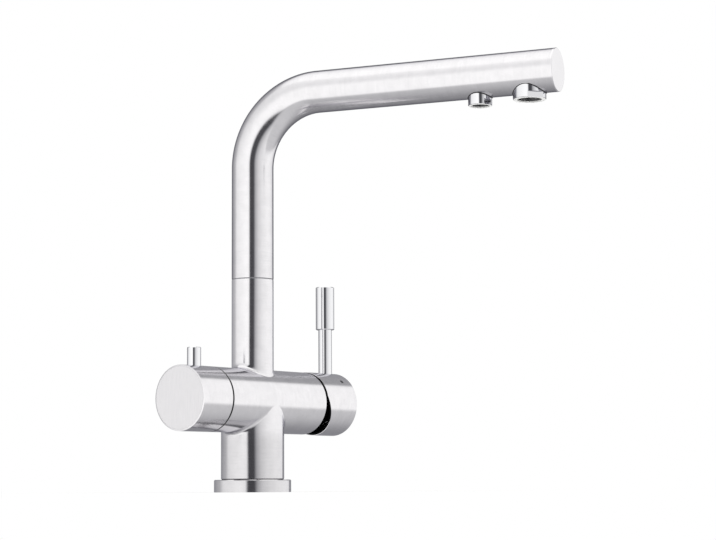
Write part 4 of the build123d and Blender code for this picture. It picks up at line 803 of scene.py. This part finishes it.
joint_from = add(tree, "ShaderNodeMapRange", spans(aloft, (JOINT_FOOT, JOINT_MIDDLE), RISING), **SMOOTH)
joint_to = add(tree, "ShaderNodeMapRange", spans(aloft, (JOINT_MIDDLE, JOINT_TOP), FALLING), **SMOOTH)
joint_beside = add(tree, "ShaderNodeMapRange", spans(across, JOINT_SIDE, RISING), **SMOOTH)
joint = add(tree, "ShaderNodeMath", {0: joint_from, 1: joint_to}, operation="MULTIPLY")
joint = add(tree, "ShaderNodeMath", {0: joint, 1: joint_beside}, operation="MULTIPLY")
dimmed = add(tree, "ShaderNodeMath", {0: level, 1: JOINT_SHADE}, operation="MULTIPLY")
level = add(tree, "ShaderNodeMix", {"Factor": joint, 2: level, 3: dimmed})

table_top = add(tree, "ShaderNodeMapRange", spans(across, TABLE_SIDES, TABLE_TOP), **SMOOTH)
table_gap = add(tree, "ShaderNodeMath", {0: table_top, 1: aloft}, operation="SUBTRACT")
on_table = add(tree, "ShaderNodeMapRange", spans(table_gap, (0.0, TABLE_DEPTH), RISING), **SMOOTH)
backwards = add(tree, "ShaderNodeVectorMath", {0: direction, 1: TOWARDS_BACK}, operation="DOT_PRODUCT")
table = add(tree, "ShaderNodeMapRange", spans(backwards.outputs["Value"], TABLE_SPAN, TABLE_GREY), **SMOOTH)
level = add(tree, "ShaderNodeMix", {"Factor": on_table, 2: level, 3: table})
print("ceiling from", CEILING)

# %% [markdown]
# Only mirrored rays see that studio. The camera sees plain white, and other materials are lit by an even
# grey, so that they don't take on the studio's stripes. The room's dark parts are a little bluer than its
# screens, which a power on the blue channel gives.

# %% World output
COOL_POWER = 0.965
EVEN_GREY = (0.55, 0.55, 0.55, 1)
WHITE = (1, 1, 1, 1)
cooler = add(tree, "ShaderNodeMath", {0: level, 1: COOL_POWER}, operation="POWER")
room = add(tree, "ShaderNodeCombineColor", {0: level, 1: level, 2: cooler})
light_path = add(tree, "ShaderNodeLightPath").outputs
mirrored = {0: light_path["Is Glossy Ray"], 1: light_path["Is Transmission Ray"]}
mirror = add(tree, "ShaderNodeMath", mirrored, operation="MAXIMUM")
plain = add(tree, "ShaderNodeMixRGB", {
    "Fac": light_path["Is Camera Ray"], "Color1": EVEN_GREY, "Color2": WHITE})
seen = add(tree, "ShaderNodeMixRGB", {"Fac": mirror, "Color1": plain, "Color2": room})
background = add(tree, "ShaderNodeBackground", {"Color": seen, "Strength": 1.0})
add(tree, "ShaderNodeOutputWorld", {"Surface": background})
print("world nodes", len(tree.nodes))

# %% [markdown]
# The floor is a wide disc of white card. More light would turn it white and bleach the tap, so the card
# glows for the camera alone, and a little less close to the tap, where its soft shadow shows.

# %% Floor
FLOOR_RADIUS = 6.0
FLOOR_SIDES = 96
FLOOR_GLOW = (0.75, 1.0)
SHADOW_REACH = (0.08, 0.4)
bpy.ops.mesh.primitive_circle_add(
    vertices=FLOOR_SIDES, radius=FLOOR_RADIUS, fill_type="NGON", location=(0, 0, 0))
floor = bpy.context.object
floor.name = "floor"
floor_card, tree, shader = material("white card", **{"Base Color": srgb("#F0F0F0"), "Roughness": 0.9})
place = add(tree, "ShaderNodeTexCoord").outputs["Object"]
distance = add(tree, "ShaderNodeVectorMath", {0: place}, operation="LENGTH").outputs["Value"]
fade = add(tree, "ShaderNodeMapRange", spans(distance, SHADOW_REACH, FLOOR_GLOW), **SMOOTH)
camera_ray = add(tree, "ShaderNodeLightPath").outputs["Is Camera Ray"]
share = add(tree, "ShaderNodeMath", {0: camera_ray, 1: fade}, operation="MULTIPLY")
glow = add(tree, "ShaderNodeEmission", {"Color": WHITE, "Strength": 1.0})
card = add(tree, "ShaderNodeMixShader", {0: share, 1: shader, 2: glow})
output = next(n for n in tree.nodes if n.type == "OUTPUT_MATERIAL")
fill(tree, output, {"Surface": card})
floor.data.materials.append(floor_card)
floor.visible_glossy = False
floor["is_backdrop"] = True
print("floor radius", FLOOR_RADIUS, "m")

# %% [markdown]
# Three soft lamps light what isn't metal: a large one above, and one on each side of the camera. They cast
# the soft shadow, and the metal doesn't mirror them, because the painted studio already stands for them.

# %% Lamps
# Name, place and side length in metres, and power in watts
LAMPS = (("lamp above", (-0.2, -0.2, 1.6), 1.4, 14), ("lamp left", (-1.4, 0.3, 0.9), 1.0, 7),
         ("lamp right", (0.7, -1.3, 0.9), 1.0, 7))
for name, lamp_place, side, power in LAMPS:
    data = bpy.data.lights.new(name, "AREA")
    data.size = side
    data.energy = power
    lamp = bpy.data.objects.new(name, data)
    scene.collection.objects.link(lamp)
    lamp.location = lamp_place
    aim = Vector((0, 0, SPOUT_HEIGHT / 2)) - Vector(lamp_place)
    lamp.rotation_euler = aim.to_track_quat("-Z", "Y").to_euler()
    lamp.visible_glossy = False
print("lamps", len(LAMPS))

# %% [markdown]
# ## Camera
#
# The camera looks slightly up from just above the worktop, through a long lens. It could be placed by eye.
# Its place, turn and focal length were fitted to the tap's edges in the photograph instead, and the angles
# here are radians.

# %% Camera
IMAGE_WIDTH = 716
FOCAL_PIXELS = 1951.6
SENSOR = 36.0
CLIP_START, CLIP_END = 0.02, 30.0
CAMERA_PLACE = (-1.06181, -0.90097, 0.004)
CAMERA_YAW, CAMERA_PITCH, CAMERA_ROLL = 0.64938, 0.1102, -0.00574
camera_data = bpy.data.cameras.new("camera")
camera = bpy.data.objects.new("camera", camera_data)
scene.collection.objects.link(camera)
scene.camera = camera
camera_data.sensor_width = SENSOR
camera_data.lens = FOCAL_PIXELS / IMAGE_WIDTH * SENSOR
camera_data.clip_start = CLIP_START
camera_data.clip_end = CLIP_END
level_way = Vector((math.cos(CAMERA_YAW), math.sin(CAMERA_YAW), 0))
forward = math.cos(CAMERA_PITCH) * level_way + math.sin(CAMERA_PITCH) * Vector((0, 0, 1))
right = Vector((math.sin(CAMERA_YAW), -math.cos(CAMERA_YAW), 0))
up = right.cross(forward)
rolled_right = math.cos(CAMERA_ROLL) * right + math.sin(CAMERA_ROLL) * up
rolled_up = -math.sin(CAMERA_ROLL) * right + math.cos(CAMERA_ROLL) * up
camera_turn = Matrix((rolled_right, rolled_up, -forward)).transposed().to_4x4()
camera.matrix_world = Matrix.Translation(CAMERA_PLACE) @ camera_turn
print("lens", round(camera_data.lens, 1), "mm")

# %% [markdown]
# The finishes were matched as plain colours, so the picture shows them without a film curve. The Standard
# view transform does that.

# %% Look of the picture
scene.view_settings.view_transform = "Standard"
print("view transform", scene.view_settings.view_transform)

# %% [markdown]
# The last step measures the box of the dressed tap, which should be the same as the imported model's.

# %% Measure the sizes
low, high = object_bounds()
